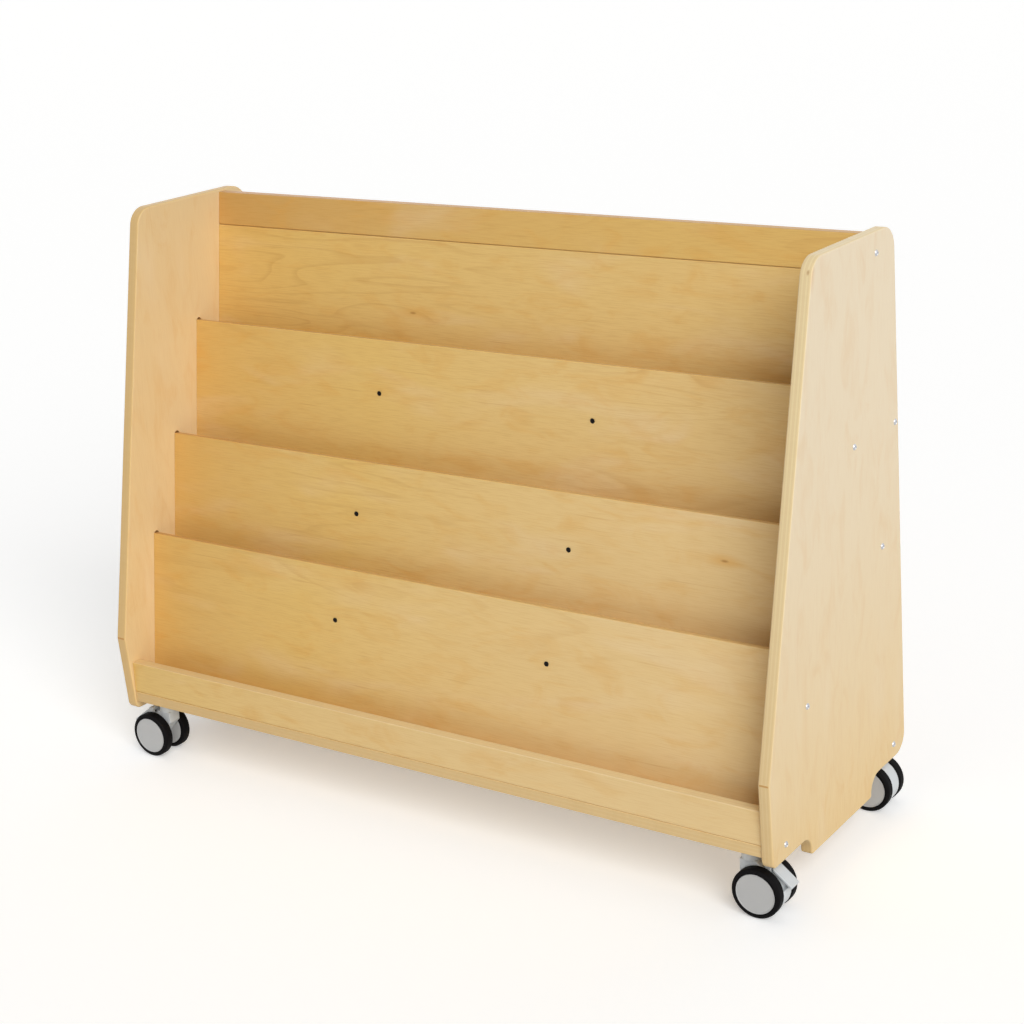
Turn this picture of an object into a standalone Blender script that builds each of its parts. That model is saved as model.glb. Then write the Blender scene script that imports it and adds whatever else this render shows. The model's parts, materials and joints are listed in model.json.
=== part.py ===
"""Book display shelf on four twin-wheel casters, in metres with +Z up.

The floor is z = 0, x = 0 is the middle of the width and y = 0 the middle of the depth. The display
side faces -Y. Boards are outlines in the side view, run across the width. While they are drawn,
y is measured back from the knee in the side panels' front edge.
"""
import math

import bmesh
import bpy
from mathutils import Matrix, Vector

# Plywood carcass
WIDTH = 1.200            # over the outer faces of the side panels
PLY = 0.018              # side panels, base, ledge, shelves, lip and rail
PANEL_PLY = 0.012        # leaning display panels
PANEL_LEAN = math.radians(8.0)
FIT = 0.0003             # gap between pieces that touch
EASE = 0.0025            # rounding of the side panels' edges
EASE_STEPS = 1
WELD = 1e-6              # points closer than this are one
SHARP_ANGLE = math.radians(40.0)

# Display tiers, front to back: floor of each slot and the panel that stands behind it
LIP_SETBACK = 0.011      # face of the lip behind the knee
LIP_HEIGHT = 0.052
SLOT_WIDTHS = (0.029, 0.039, 0.043, 0.0445)
PANEL_RISES = (0.254, 0.229, 0.251, 0.222)
SLOT_DEPTH = 0.075       # from a panel's top down to the board behind it
LEDGE_OVERHANG = 0.004   # ledge behind the foot of the panel that stands on it
REAR_INSET = 0.002       # base and shelves in front of the sides' rear edge
RAIL_HEIGHT = 0.053
RAIL_PROUD = 0.001       # rail in front of the panel below it
GROOVE = 0.006           # depth of the grooves in the sides
GROOVE_OVERRUN = 0.001   # straight groove above a panel before the round end

# Side panel outline
KNEE_ABOVE_BASE = 0.115  # knee above the underside of the base
FRONT_SETBACK = 0.137    # front edge at the top, behind the knee
TOE_SETBACK = 0.0095     # front edge at the bottom, behind the knee
TOP_MARGIN = 0.004       # side panels above the rail
REAR_MARGIN = 0.048      # side panels behind the top of the rail
REAR_SPREAD = 0.0616     # rear edge further back at the bottom than at the top
ARCH_DROP = 0.014        # arch edge below the underside of the base
SKIRT_DROP = 0.032       # skirt between the arches, below the arch edge
ARCH_REACH = 0.083       # arch wall from the swivel axis
FRONT_TOP_RADIUS = 0.032
REAR_TOP_RADIUS = 0.035
REAR_FOOT_RADIUS = 0.030
TOE_RADIUS = 0.012
ARCH_RADIUS = 0.025
SKIRT_RADIUS = 0.005
ARC_STEP = math.radians(15.0)

# Countersunk screws through the sides, and the screws through the display panels
SCREW_LENGTH = 0.040
SCREW_SHANK_R = 0.002
SCREW_HEAD_R = 0.0042
SCREW_HEAD_HEIGHT = 0.0026
SCREW_TIP = 0.004
SCREW_STEPS = 12
BASE_SCREW_FRONT = 0.037
BASE_SCREW_REAR = 0.040
LEDGE_SCREW_FRONT = 0.022
MIDDLE_SCREW_REAR = 0.064
UPPER_SCREW_FRONT = 0.020
UPPER_SCREW_REAR = 0.010
PANEL_SCREW_SPACING = 0.394
PANEL_HOLE_HEAD_R = 0.0035
PANEL_HOLE_HEAD_DEPTH = 0.003
PANEL_HOLE_SHANK_R = 0.002
PANEL_HOLE_DEPTH = 0.036

# Casters
WHEEL_R = 0.0375
WHEEL_WIDTH = 0.0175
TYRE_DEPTH = 0.0058      # tyre's rubber outside the hub
TYRE_SHOULDER = 0.004
SHOULDER_STEP = math.radians(45.0)
HUB_EDGE = 0.0008        # chamfer round the hub's disc
WHEEL_STEPS = 28
ROUND_STEPS = 16
TRAIL = 0.020            # axle behind the swivel axis
CASTER_FROM_SIDE = 0.035
CASTER_FROM_EDGE = 0.036
HOUSING_WIDTH = 0.0234
WHEEL_GAP = 0.0006       # side of the housing to the wheel
FENDER_DROP = 0.0015     # housing's rim inside the tread
FENDER_END = math.radians(-35.0)
FENDER_TOP = math.radians(90.0)
NOTCH_DEPTH = 0.005      # housing cut back under the pedal
NOTCH_START = math.radians(8.0)
NOTCH_END = math.radians(85.0)
BOSS_R = 0.011
BOSS_START = math.radians(190.0)
BOSS_END = math.radians(270.0)
HEAD_R = 0.014
HEAD_HEIGHT = 0.0199
HEAD_CLEAR = 0.0015      # swivel head above the wheels
HEAD_LAP = 0.0015        # body runs up into the head
NECK_HALF = 0.0126
NECK_HEIGHT = 0.0165     # body's leading edge below the head
SWIVEL_GAP = 0.0003
FLANGE_T = 0.003
FLANGE_R = 0.0135
STEM_R = 0.005
STEM_DEPTH = 0.013       # stem up into the base
STEM_CHAMFER = 0.001
PIN_R = 0.004
PIN_LENGTH = 0.026
AXLE_R = 0.004
AXLE_SEAT = 0.009        # axle into each hub

# Brake pedals on the front casters
PIVOT_OUT = 0.0023       # hinge axis outside the tread
PIVOT_ANGLE = math.radians(75.4)
PIVOT_PIN_R = 0.002
PIVOT_PIN_INSET = 0.0005
EAR_R = 0.0046
EAR_INSET = 0.0004       # ears in from the housing's sides
EAR_ROOT = 0.027
EAR_ROOT_FRONT = math.radians(82.0)
EAR_ROOT_REAR = math.radians(55.0)
LUG_R = 0.0042
LUG_WIDTH = 0.012
LUG_GAP = 0.0004
LUG_OPENING = math.radians(45.0)
PEDAL_LENGTH = 0.046
PEDAL_SLOPE = math.radians(37.6)
PEDAL_T = 0.004
PEDAL_DROP = 0.0004      # plate's top below the lug's
PEDAL_ROOT = 0.0086      # full-width plate starts this far from the hinge axis
PEDAL_LAP = 0.005        # narrow lug runs under the plate
PEDAL_TIP_R = 0.0015
PEDAL_GAP = 0.0003

# Heights above the floor
HEAD_Z = 2 * WHEEL_R + HEAD_CLEAR
HEAD_TOP_Z = HEAD_Z + HEAD_HEIGHT
FLANGE_Z = HEAD_TOP_Z + SWIVEL_GAP
BASE_Z = FLANGE_Z + FLANGE_T + FIT
BASE_TOP = BASE_Z + PLY
KNEE_Z = BASE_Z + KNEE_ABOVE_BASE
ARCH_Z = BASE_Z - ARCH_DROP
SKIRT_Z = ARCH_Z - SKIRT_DROP

# Widths and slopes that follow
INNER_HALF = WIDTH / 2 - PLY
LEAN = math.tan(PANEL_LEAN)
PANEL_RUN = PANEL_PLY / math.cos(PANEL_LEAN)
RAIL_RUN = PLY / math.cos(PANEL_LEAN)
CASTER_X = INNER_HALF - CASTER_FROM_SIDE
WHEEL_Y = HOUSING_WIDTH / 2 + WHEEL_GAP + WHEEL_WIDTH / 2
HUB_R = WHEEL_R - TYRE_DEPTH
FENDER_R = WHEEL_R - FENDER_DROP
NOTCH_R = FENDER_R - NOTCH_DEPTH
PIVOT_X = TRAIL + (WHEEL_R + PIVOT_OUT) * math.cos(PIVOT_ANGLE)
PIVOT_Z = WHEEL_R + (WHEEL_R + PIVOT_OUT) * math.sin(PIVOT_ANGLE)
OVERCUT = 0.002          # how far a cutter runs past a face

# Finishes: linear colour, roughness, metallic
FINISHES = {
    "birch_plywood": ((0.72, 0.53, 0.27), 0.45, 0.0),
    "zinc_steel": ((0.60, 0.60, 0.60), 0.35, 1.0),
    "grey_nylon": ((0.69, 0.73, 0.76), 0.40, 0.0),
    "grey_hub": ((0.45, 0.45, 0.44), 0.40, 0.0),
    "black_rubber": ((0.012, 0.011, 0.012), 0.60, 0.0),
}


class Tier:
    """One display panel: the height of its foot, the front of its foot and the height of its top."""

    def __init__(self, foot_z, foot_y, rise):
        self.foot_z = foot_z
        self.foot_y = foot_y
        self.top_z = foot_z + rise

    def face(self, z):
        """Front face's y at a height."""
        return self.foot_y + (z - self.foot_z) * LEAN

    def back(self, z):
        """Back face's y at a height."""
        return self.face(z) + PANEL_RUN


def make_tiers():
    """Each panel stands on the board behind the last one, a slot's width from that one's back."""
    foot_z = BASE_TOP
    foot_y = LIP_SETBACK + PLY + SLOT_WIDTHS[0]
    tiers = [Tier(foot_z, foot_y, PANEL_RISES[0])]
    for width, rise in zip(SLOT_WIDTHS[1:], PANEL_RISES[1:]):
        foot_z = tiers[-1].top_z - SLOT_DEPTH
        tiers.append(Tier(foot_z, tiers[-1].back(foot_z) + width, rise))
    return tiers


TIERS = make_tiers()
RAIL_Z = TIERS[-1].top_z + FIT
RAIL_TOP = RAIL_Z + RAIL_HEIGHT
RAIL_BACK = TIERS[-1].face(RAIL_TOP) - RAIL_PROUD + RAIL_RUN
TOP_Z = RAIL_TOP + TOP_MARGIN
REAR_TOP_Y = RAIL_BACK + REAR_MARGIN
REAR_FOOT_Y = REAR_TOP_Y + REAR_SPREAD


def rear_edge(z):
    """Side panels' rear edge at a height."""
    return REAR_TOP_Y + REAR_SPREAD * (TOP_Z - z) / (TOP_Z - ARCH_Z)


BASE_REAR = rear_edge(BASE_TOP) - REAR_INSET
CASTER_FRONT_Y = LIP_SETBACK + CASTER_FROM_EDGE
CASTER_REAR_Y = BASE_REAR - CASTER_FROM_EDGE


def arc(centre, radius, start, end, step=ARC_STEP):
    """Points along an arc, both ends included."""
    count = max(2, math.ceil(abs(end - start) / step))
    angles = [start + (end - start) * i / count for i in range(count + 1)]
    return [(centre[0] + radius * math.cos(a), centre[1] + radius * math.sin(a)) for a in angles]


def rounded(corners):
    """Closed outline from corners (u, v, radius), with an arc at each corner that has a radius."""
    points = []
    for index, (u, v, radius) in enumerate(corners):
        here = Vector((u, v))
        if not radius:
            points.append((u, v))
            continue
        before = (Vector(corners[index - 1][:2]) - here).normalized()
        after = (Vector(corners[(index + 1) % len(corners)][:2]) - here).normalized()
        half = before.angle(after) / 2
        centre = here + (before + after).normalized() * (radius / math.sin(half))
        first = here + before * (radius / math.tan(half)) - centre
        last = here + after * (radius / math.tan(half)) - centre
        start = math.atan2(first.y, first.x)
        turn = math.atan2(first.x * last.y - first.y * last.x, first.dot(last))
        points += arc(centre, radius, start, start + turn)
    return points


def weld(mesh):
    """Closes a mesh along its loose seams and turns its faces outwards."""
    work = bmesh.new()
    work.from_mesh(mesh)
    bmesh.ops.remove_doubles(work, verts=work.verts, dist=WELD)
    bmesh.ops.recalc_face_normals(work, faces=work.faces)
    work.to_mesh(mesh)
    work.free()


def evaluated_mesh(name, obj):
    """Mesh of an object as its modifiers leave it."""
    bpy.context.view_layer.update()
    depsgraph = bpy.context.evaluated_depsgraph_get()
    mesh = bpy.data.meshes.new_from_object(obj.evaluated_get(depsgraph))
    mesh.name = name
    weld(mesh)
    return mesh


def guide(name, data):
    """Working object in the cutter collection, out of the finished part."""
    obj = bpy.data.objects.new(name, data)
    obj.hide_render = True
    obj.display_type = "WIRE"
    bpy.data.collections["cutters"].objects.link(obj)
    return obj


def join_caps(mesh, thickness):
    """Makes each flat end of an outline one face, so that points in line leave no sliver."""
    level = thickness / 2 - WELD
    work = bmesh.new()
    work.from_mesh(mesh)
    caps = []
    for face in work.faces:
        heights = [vert.co.z for vert in face.verts]
        if min(heights) > level or max(heights) < -level:
            caps.append(face)
    bmesh.ops.dissolve_faces(work, faces=caps)
    work.to_mesh(mesh)
    work.free()


def outline_mesh(name, points, thickness, ease=0.0):
    """Closed mesh of an outline in local XY, its thickness along local Z, its edges eased."""
    curve = bpy.data.curves.new(name, "CURVE")
    curve.dimensions = "2D"
    curve.fill_mode = "BOTH"
    curve.extrude = thickness / 2 - ease
    curve.bevel_depth = ease
    curve.bevel_resolution = EASE_STEPS
    curve.offset = -ease
    spline = curve.splines.new("POLY")
    spline.points.add(len(points) - 1)
    for point, (u, v) in zip(spline.points, points):
        point.co = (u, v, 0.0, 1.0)
    spline.use_cyclic_u = True
    drawn = guide(name + "_outline", curve)
    mesh = evaluated_mesh(name, drawn)
    bpy.data.objects.remove(drawn)
    join_caps(mesh, thickness)
    return mesh


def board_mesh(name, points, x_low, x_high, ease=0.0):
    """Outline in the side view (y, z), run across the width from x_low to x_high."""
    mesh = outline_mesh(name, points, x_high - x_low, ease)
    across = Matrix(((0, 0, 1, 0), (1, 0, 0, 0), (0, 1, 0, 0), (0, 0, 0, 1)))
    mesh.transform(Matrix.Translation(((x_low + x_high) / 2, 0, 0)) @ across)
    return mesh


def plate_mesh(name, points, width, middle=0.0):
    """Outline in a caster's side view (x, z), its width along y."""
    mesh = outline_mesh(name, points, width)
    mesh.transform(Matrix.Translation((0, middle, 0)) @ Matrix.Rotation(math.pi / 2, 4, "X"))
    return mesh


def turned_mesh(name, profile, steps, closed=False):
    """Profile (radius, height) spun about local Z. It runs down its outer side."""
    mesh = bpy.data.meshes.new(name)
    edges = [(i, i + 1) for i in range(len(profile) - 1)]
    if closed:
        edges.append((len(profile) - 1, 0))
    mesh.from_pydata([(r, 0.0, z) for r, z in profile], edges, [])
    lathe = guide(name + "_profile", mesh)
    spin = lathe.modifiers.new("spin", "SCREW")
    spin.steps = steps
    spin.render_steps = steps
    spin.use_merge_vertices = True
    spin.merge_threshold = WELD
    result = evaluated_mesh(name, lathe)
    bpy.data.objects.remove(lathe)
    return result


def rod_mesh(name, radius, low, high, steps=ROUND_STEPS):
    """Plain round bar about local Z."""
    mesh = bpy.data.meshes.new(name)
    work = bmesh.new()
    bmesh.ops.create_cone(work, cap_ends=True, segments=steps, radius1=radius, radius2=radius,
                          depth=high - low, matrix=Matrix.Translation((0, 0, (low + high) / 2)))
    work.to_mesh(mesh)
    work.free()
    return mesh


def combine(obj, other, operation):
    """Boolean of an object with a guide."""
    step = obj.modifiers.new(other.name, "BOOLEAN")
    step.operation = operation
    step.object = other


def shade_round(mesh):
    """Smooth shading with sharp edges kept."""
    mesh.shade_smooth()
    mesh.set_sharp_from_angle(angle=SHARP_ANGLE)


def make_materials():
    """One Principled material for each finish."""
    for name, (colour, roughness, metallic) in FINISHES.items():
        material = bpy.data.materials.new(name)
        material.use_nodes = True
        shader = material.node_tree.nodes["Principled BSDF"]
        shader.inputs["Base Color"].default_value = (*colour, 1.0)
        shader.inputs["Roughness"].default_value = roughness
        shader.inputs["Metallic"].default_value = metallic


def place(name, mesh, finish, parent, location=(0, 0, 0), rotation=(0, 0, 0)):
    """Named piece of the part, under its parent empty."""
    obj = bpy.data.objects.new(name, mesh)
    if not mesh.materials:
        mesh.materials.append(bpy.data.materials[finish])
    obj.parent = parent
    obj.location = location
    obj.rotation_euler = rotation
    bpy.data.collections["book_display_shelf"].objects.link(obj)
    return obj


def make_empty(name, parent=None, location=(0, 0, 0), turn=0.0):
    """Empty that carries pieces."""
    empty = bpy.data.objects.new(name, None)
    empty.parent = parent
    empty.location = location
    empty.rotation_euler = (0, 0, turn)
    bpy.data.collections["book_display_shelf"].objects.link(empty)
    return empty


def side_outline():
    """Kneed front edge, rounded top, leaning rear edge, and a skirt between two wheel arches."""
    front_wall = CASTER_FRONT_Y + ARCH_REACH
    rear_wall = CASTER_REAR_Y - ARCH_REACH
    return rounded([
        (0.0, KNEE_Z, 0.0),
        (FRONT_SETBACK, TOP_Z, FRONT_TOP_RADIUS),
        (REAR_TOP_Y, TOP_Z, REAR_TOP_RADIUS),
        (REAR_FOOT_Y, ARCH_Z, REAR_FOOT_RADIUS),
        (rear_wall, ARCH_Z, ARCH_RADIUS),
        (rear_wall, SKIRT_Z, SKIRT_RADIUS),
        (front_wall, SKIRT_Z, SKIRT_RADIUS),
        (front_wall, ARCH_Z, ARCH_RADIUS),
        (TOE_SETBACK, ARCH_Z, TOE_RADIUS),
    ])


SIDE_OUTLINE = side_outline()
DEPTH = max(y for y, z in SIDE_OUTLINE) - min(y for y, z in SIDE_OUTLINE)


def rectangle(front, rear, low, top):
    """Upright or level board in the side view."""
    return [(front, low), (rear, low), (rear, top), (front, top)]


def panel_outline(tier):
    """Leaning panel, its foot level and its top square to its face."""
    low = tier.foot_z + FIT
    rear_top = tier.top_z - PANEL_PLY * math.sin(PANEL_LEAN)
    return [(tier.face(low), low), (tier.back(low), low), (tier.back(rear_top), rear_top),
            (tier.face(tier.top_z), tier.top_z)]


def groove_outline(tier):
    """Slot for a panel's end: level at the foot and round above the top, as a router leaves it."""
    along = Vector((math.sin(PANEL_LEAN), math.cos(PANEL_LEAN)))
    normal = Vector((math.cos(PANEL_LEAN), -math.sin(PANEL_LEAN)))
    radius = PANEL_PLY / 2 + FIT
    spread = FIT / math.cos(PANEL_LEAN)
    face_top = Vector((tier.face(tier.top_z), tier.top_z))
    centre = face_top + normal * (PANEL_PLY / 2) + along * GROOVE_OVERRUN
    return [(tier.face(tier.foot_z) - spread, tier.foot_z), (tier.back(tier.foot_z) + spread, tier.foot_z),
            *arc(centre, radius, -PANEL_LEAN, math.pi - PANEL_LEAN)]


def rail_outline():
    """Leaning rail above the last panel, level below and above."""
    tier = TIERS[-1]
    low_y = tier.face(RAIL_Z) - RAIL_PROUD
    top_y = tier.face(RAIL_TOP) - RAIL_PROUD
    return [(low_y, RAIL_Z), (low_y + RAIL_RUN, RAIL_Z), (top_y + RAIL_RUN, RAIL_TOP), (top_y, RAIL_TOP)]


def shelf_outline(tier, top_z, rear_low, rear_top):
    """Board behind a panel, its front edge along the panel's back."""
    low = top_z - PLY
    return [(tier.back(low) + FIT, low), (rear_low, low), (rear_top, top_z),
            (tier.back(top_z) + FIT, top_z)]


def shelf_outlines():
    """Narrow ledge behind the first panel, and two shelves that run on to the rear edge."""
    outlines = {}
    ledge_rear = TIERS[1].back(TIERS[1].foot_z) + LEDGE_OVERHANG
    outlines["slot_ledge"] = shelf_outline(TIERS[0], TIERS[1].foot_z, ledge_rear, ledge_rear)
    for name, index in (("middle_shelf", 1), ("upper_shelf", 2)):
        top_z = TIERS[index + 1].foot_z
        rear_low = rear_edge(top_z - PLY) - REAR_INSET
        rear_top = rear_edge(top_z) - REAR_INSET
        outlines[name] = shelf_outline(TIERS[index], top_z, rear_low, rear_top)
    return outlines


def side_screw_places(shelves):
    """Where each screw enters a side panel, as (y, z)."""
    base_mid = BASE_Z + PLY / 2
    rail_mid = (RAIL_Z + RAIL_TOP) / 2
    mid = {name: outline[0][1] + PLY / 2 for name, outline in shelves.items()}
    front = {name: TIERS[i].back(mid[name]) + FIT for i, name in enumerate(shelves)}
    rear = {name: rear_edge(mid[name]) - REAR_INSET for name in shelves}
    return {
        "base_front": (LIP_SETBACK + BASE_SCREW_FRONT, base_mid),
        "base_rear": (BASE_REAR - BASE_SCREW_REAR, base_mid),
        "ledge": (front["slot_ledge"] + LEDGE_SCREW_FRONT, mid["slot_ledge"]),
        "middle_shelf": (rear["middle_shelf"] - MIDDLE_SCREW_REAR, mid["middle_shelf"]),
        "upper_shelf_front": (front["upper_shelf"] + UPPER_SCREW_FRONT, mid["upper_shelf"]),
        "upper_shelf_rear": (rear["upper_shelf"] - UPPER_SCREW_REAR, mid["upper_shelf"]),
        "rail": (TIERS[-1].face(rail_mid) - RAIL_PROUD + RAIL_RUN / 2, rail_mid),
    }


def screw_profile(grow, above):
    """Countersunk screw with its head at z = 0, or its hole when grown by a gap and run above the face."""
    head = [(0.0, above), (SCREW_HEAD_R + grow, above)]
    if above:
        head.append((SCREW_HEAD_R + grow, 0.0))
    return head + [
        (SCREW_SHANK_R + grow, -SCREW_HEAD_HEIGHT),
        (SCREW_SHANK_R + grow, SCREW_TIP - SCREW_LENGTH - grow),
        (0.0, -SCREW_LENGTH - grow),
    ]


def make_carcass(root):
    """Boards, their grooves and screw holes, and the screws."""
    shelves = shelf_outlines()
    side_inner = INNER_HALF - FIT
    boards = {
        "base_board": rectangle(LIP_SETBACK, BASE_REAR, BASE_Z, BASE_TOP),
        "front_lip": rectangle(LIP_SETBACK, LIP_SETBACK + PLY, BASE_TOP + FIT, BASE_TOP + LIP_HEIGHT),
        "top_rail": rail_outline(),
        **shelves,
    }
    pieces = {}
    for name, outline in boards.items():
        mesh = board_mesh(name, outline, -side_inner, side_inner)
        pieces[name] = place(name, mesh, "birch_plywood", root)
    panel_half = INNER_HALF + GROOVE
    for number, tier in enumerate(TIERS, 1):
        name = f"display_panel_{number}"
        mesh = board_mesh(name, panel_outline(tier), -panel_half, panel_half)
        pieces[name] = place(name, mesh, "birch_plywood", root)
    for name, sign in (("side_left", -1), ("side_right", 1)):
        low, high = sorted((sign * INNER_HALF, sign * WIDTH / 2))
        mesh = board_mesh(name, SIDE_OUTLINE, low, high, EASE)
        pieces[name] = place(name, mesh, "birch_plywood", root)
        cut_grooves(pieces[name], sign, root)
        drive_screws(pieces, name, sign, side_screw_places(shelves), root)
    drill_panels(pieces, root)
    drill_stems(pieces["base_board"], root)


def cut_grooves(side, sign, root):
    """Grooves in a side's inner face for the ends of the display panels."""
    for number, tier in enumerate(TIERS, 1):
        low, high = sorted((sign * (INNER_HALF - OVERCUT), sign * (INNER_HALF + GROOVE + FIT)))
        mesh = board_mesh("groove", groove_outline(tier), low, high)
        cutter = guide(f"{side.name}_groove_{number}", mesh)
        cutter.parent = root
        combine(side, cutter, "DIFFERENCE")


def drive_screws(pieces, side, sign, places, root):
    """Screws through a side panel into the boards' ends, with their holes."""
    screw = turned_mesh("side_screw", screw_profile(0.0, 0.0), SCREW_STEPS)
    shade_round(screw)
    hole = turned_mesh("side_screw_hole", screw_profile(FIT, OVERCUT), SCREW_STEPS)
    held = {"base_front": "base_board", "base_rear": "base_board", "ledge": "slot_ledge",
            "middle_shelf": "middle_shelf", "upper_shelf_front": "upper_shelf",
            "upper_shelf_rear": "upper_shelf", "rail": "top_rail"}
    for key, (y, z) in places.items():
        spot = (sign * WIDTH / 2, y, z)
        turn = (0, sign * math.pi / 2, 0)
        place(f"screw_{side}_{key}", screw, "zinc_steel", root, spot, turn)
        cutter = guide(f"{side}_{key}_hole", hole)
        cutter.parent = root
        cutter.location = spot
        cutter.rotation_euler = turn
        combine(pieces[side], cutter, "DIFFERENCE")
        combine(pieces[held[key]], cutter, "DIFFERENCE")


def drill_panels(pieces, root):
    """Level holes for the screws that hold each display panel to the board behind it."""
    profile = [(0.0, OVERCUT), (PANEL_HOLE_HEAD_R, OVERCUT), (PANEL_HOLE_HEAD_R, -PANEL_HOLE_HEAD_DEPTH),
               (PANEL_HOLE_SHANK_R, -PANEL_HOLE_HEAD_DEPTH), (PANEL_HOLE_SHANK_R, -PANEL_HOLE_DEPTH),
               (0.0, -PANEL_HOLE_DEPTH)]
    hole = turned_mesh("panel_screw_hole", profile, SCREW_STEPS)
    for number, shelf in enumerate(("slot_ledge", "middle_shelf", "upper_shelf"), 1):
        z = TIERS[number].foot_z - PLY / 2
        for end, sign in (("left", -1), ("right", 1)):
            cutter = guide(f"display_panel_{number}_hole_{end}", hole)
            cutter.parent = root
            cutter.location = (sign * PANEL_SCREW_SPACING / 2, TIERS[number - 1].face(z), z)
            cutter.rotation_euler = (math.pi / 2, 0, 0)
            combine(pieces[f"display_panel_{number}"], cutter, "DIFFERENCE")
            combine(pieces[shelf], cutter, "DIFFERENCE")


def drill_stems(base, root):
    """Blind holes in the underside of the base for the casters' stems."""
    hole = rod_mesh("stem_hole", STEM_R + FIT, -OVERCUT, STEM_DEPTH + FIT)
    for name, x, y, turn in caster_places():
        cutter = guide(f"{name}_stem_hole", hole)
        cutter.parent = root
        cutter.location = (x, y, BASE_Z)
        combine(base, cutter, "DIFFERENCE")


def caster_places():
    """Name, swivel axis and heading of each caster; at rest they all trail outwards."""
    return [
        ("caster_front_left", -CASTER_X, CASTER_FRONT_Y, math.pi),
        ("caster_front_right", CASTER_X, CASTER_FRONT_Y, 0.0),
        ("caster_rear_left", -CASTER_X, CASTER_REAR_Y, math.pi),
        ("caster_rear_right", CASTER_X, CASTER_REAR_Y, 0.0),
    ]


def stem_mesh():
    """Stem into the base, flange under it and the pin that the housing swivels on."""
    flange_top = FLANGE_Z + FLANGE_T
    stem_top = BASE_Z + STEM_DEPTH
    mesh = turned_mesh("caster_stem", [
        (0.0, stem_top), (STEM_R - STEM_CHAMFER, stem_top), (STEM_R, stem_top - STEM_CHAMFER),
        (STEM_R, flange_top), (FLANGE_R, flange_top), (FLANGE_R, FLANGE_Z), (PIN_R, FLANGE_Z),
        (PIN_R, FLANGE_Z - PIN_LENGTH), (0.0, FLANGE_Z - PIN_LENGTH)], ROUND_STEPS)
    shade_round(mesh)
    return mesh


def housing_outline(braked):
    """Round fender over the wheels' trailing side, a boss round the axle and a neck up to the head."""
    axle = (TRAIL, WHEEL_R)
    if braked:
        rim = arc(axle, FENDER_R, FENDER_END, NOTCH_START) + arc(axle, NOTCH_R, NOTCH_START, NOTCH_END)
    else:
        rim = arc(axle, FENDER_R, FENDER_END, FENDER_TOP)
    neck_top = HEAD_Z + HEAD_LAP
    neck = [(NECK_HALF, neck_top), (-NECK_HALF, neck_top), (-NECK_HALF, HEAD_Z - NECK_HEIGHT)]
    return rim + neck + arc(axle, BOSS_R, BOSS_START, BOSS_END)


def ear_outline():
    """Ear on the housing that carries the pedal's hinge pin."""
    axle = (TRAIL, WHEEL_R)
    rear_root = arc(axle, EAR_ROOT, EAR_ROOT_REAR, EAR_ROOT_FRONT)
    return rear_root + arc((PIVOT_X, PIVOT_Z), EAR_R, math.pi, 0.0)


def housing_mesh(braked):
    """Swivel head and fender in one moulding, bored for the stem's pin and the axle."""
    body = guide("housing_body", plate_mesh("housing_body", housing_outline(braked), HOUSING_WIDTH))
    head = rod_mesh("housing_head", HEAD_R, HEAD_Z, HEAD_TOP_Z, WHEEL_STEPS)
    joins = [head]
    bores = [rod_mesh("pin_bore", PIN_R + FIT, FLANGE_Z - PIN_LENGTH - FIT, HEAD_TOP_Z + OVERCUT)]
    across = Matrix.Translation((TRAIL, 0, WHEEL_R)) @ Matrix.Rotation(math.pi / 2, 4, "X")
    reach = HOUSING_WIDTH / 2 + OVERCUT
    bores.append(rod_mesh("axle_bore", AXLE_R + FIT, -reach, reach))
    bores[-1].transform(across)
    if braked:
        inner = LUG_WIDTH / 2 + LUG_GAP
        ear_width = HOUSING_WIDTH / 2 - EAR_INSET - inner
        for sign in (-1, 1):
            joins.append(plate_mesh("ear", ear_outline(), ear_width, sign * (inner + ear_width / 2)))
        hinge = Matrix.Translation((PIVOT_X, 0, PIVOT_Z)) @ Matrix.Rotation(math.pi / 2, 4, "X")
        bores.append(rod_mesh("hinge_bore", PIVOT_PIN_R + FIT, -reach, reach))
        bores[-1].transform(hinge)
    helpers = []
    for operation, meshes in (("UNION", joins), ("DIFFERENCE", bores)):
        for mesh in meshes:
            helpers.append(guide(mesh.name, mesh))
            combine(body, helpers[-1], operation)
    mesh = evaluated_mesh("housing_braked" if braked else "housing_plain", body)
    for helper in [body, *helpers]:
        bpy.data.objects.remove(helper)
    shade_round(mesh)
    return mesh


def tyre_mesh():
    """Rubber ring with round shoulders."""
    half = WHEEL_WIDTH / 2
    seat = HUB_R + FIT
    centre = (WHEEL_R - TYRE_SHOULDER, half - TYRE_SHOULDER)
    upper = arc(centre, TYRE_SHOULDER, math.pi / 2, 0.0, SHOULDER_STEP)
    lower = [(r, -z) for r, z in reversed(upper)]
    profile = [(seat, half), *upper, *lower, (seat, -half)]
    mesh = turned_mesh("caster_tyre", profile, WHEEL_STEPS, closed=True)
    shade_round(mesh)
    return mesh


def hub_mesh():
    """Closed disc on the outer side (+Z), bored for the axle from the inner side."""
    half = WHEEL_WIDTH / 2
    bore = AXLE_R + FIT
    bore_end = AXLE_SEAT + FIT - half
    mesh = turned_mesh("caster_hub", [
        (0.0, half), (HUB_R - HUB_EDGE, half), (HUB_R, half - HUB_EDGE), (HUB_R, -half), (bore, -half),
        (bore, bore_end), (0.0, bore_end)], WHEEL_STEPS)
    shade_round(mesh)
    return mesh


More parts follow.
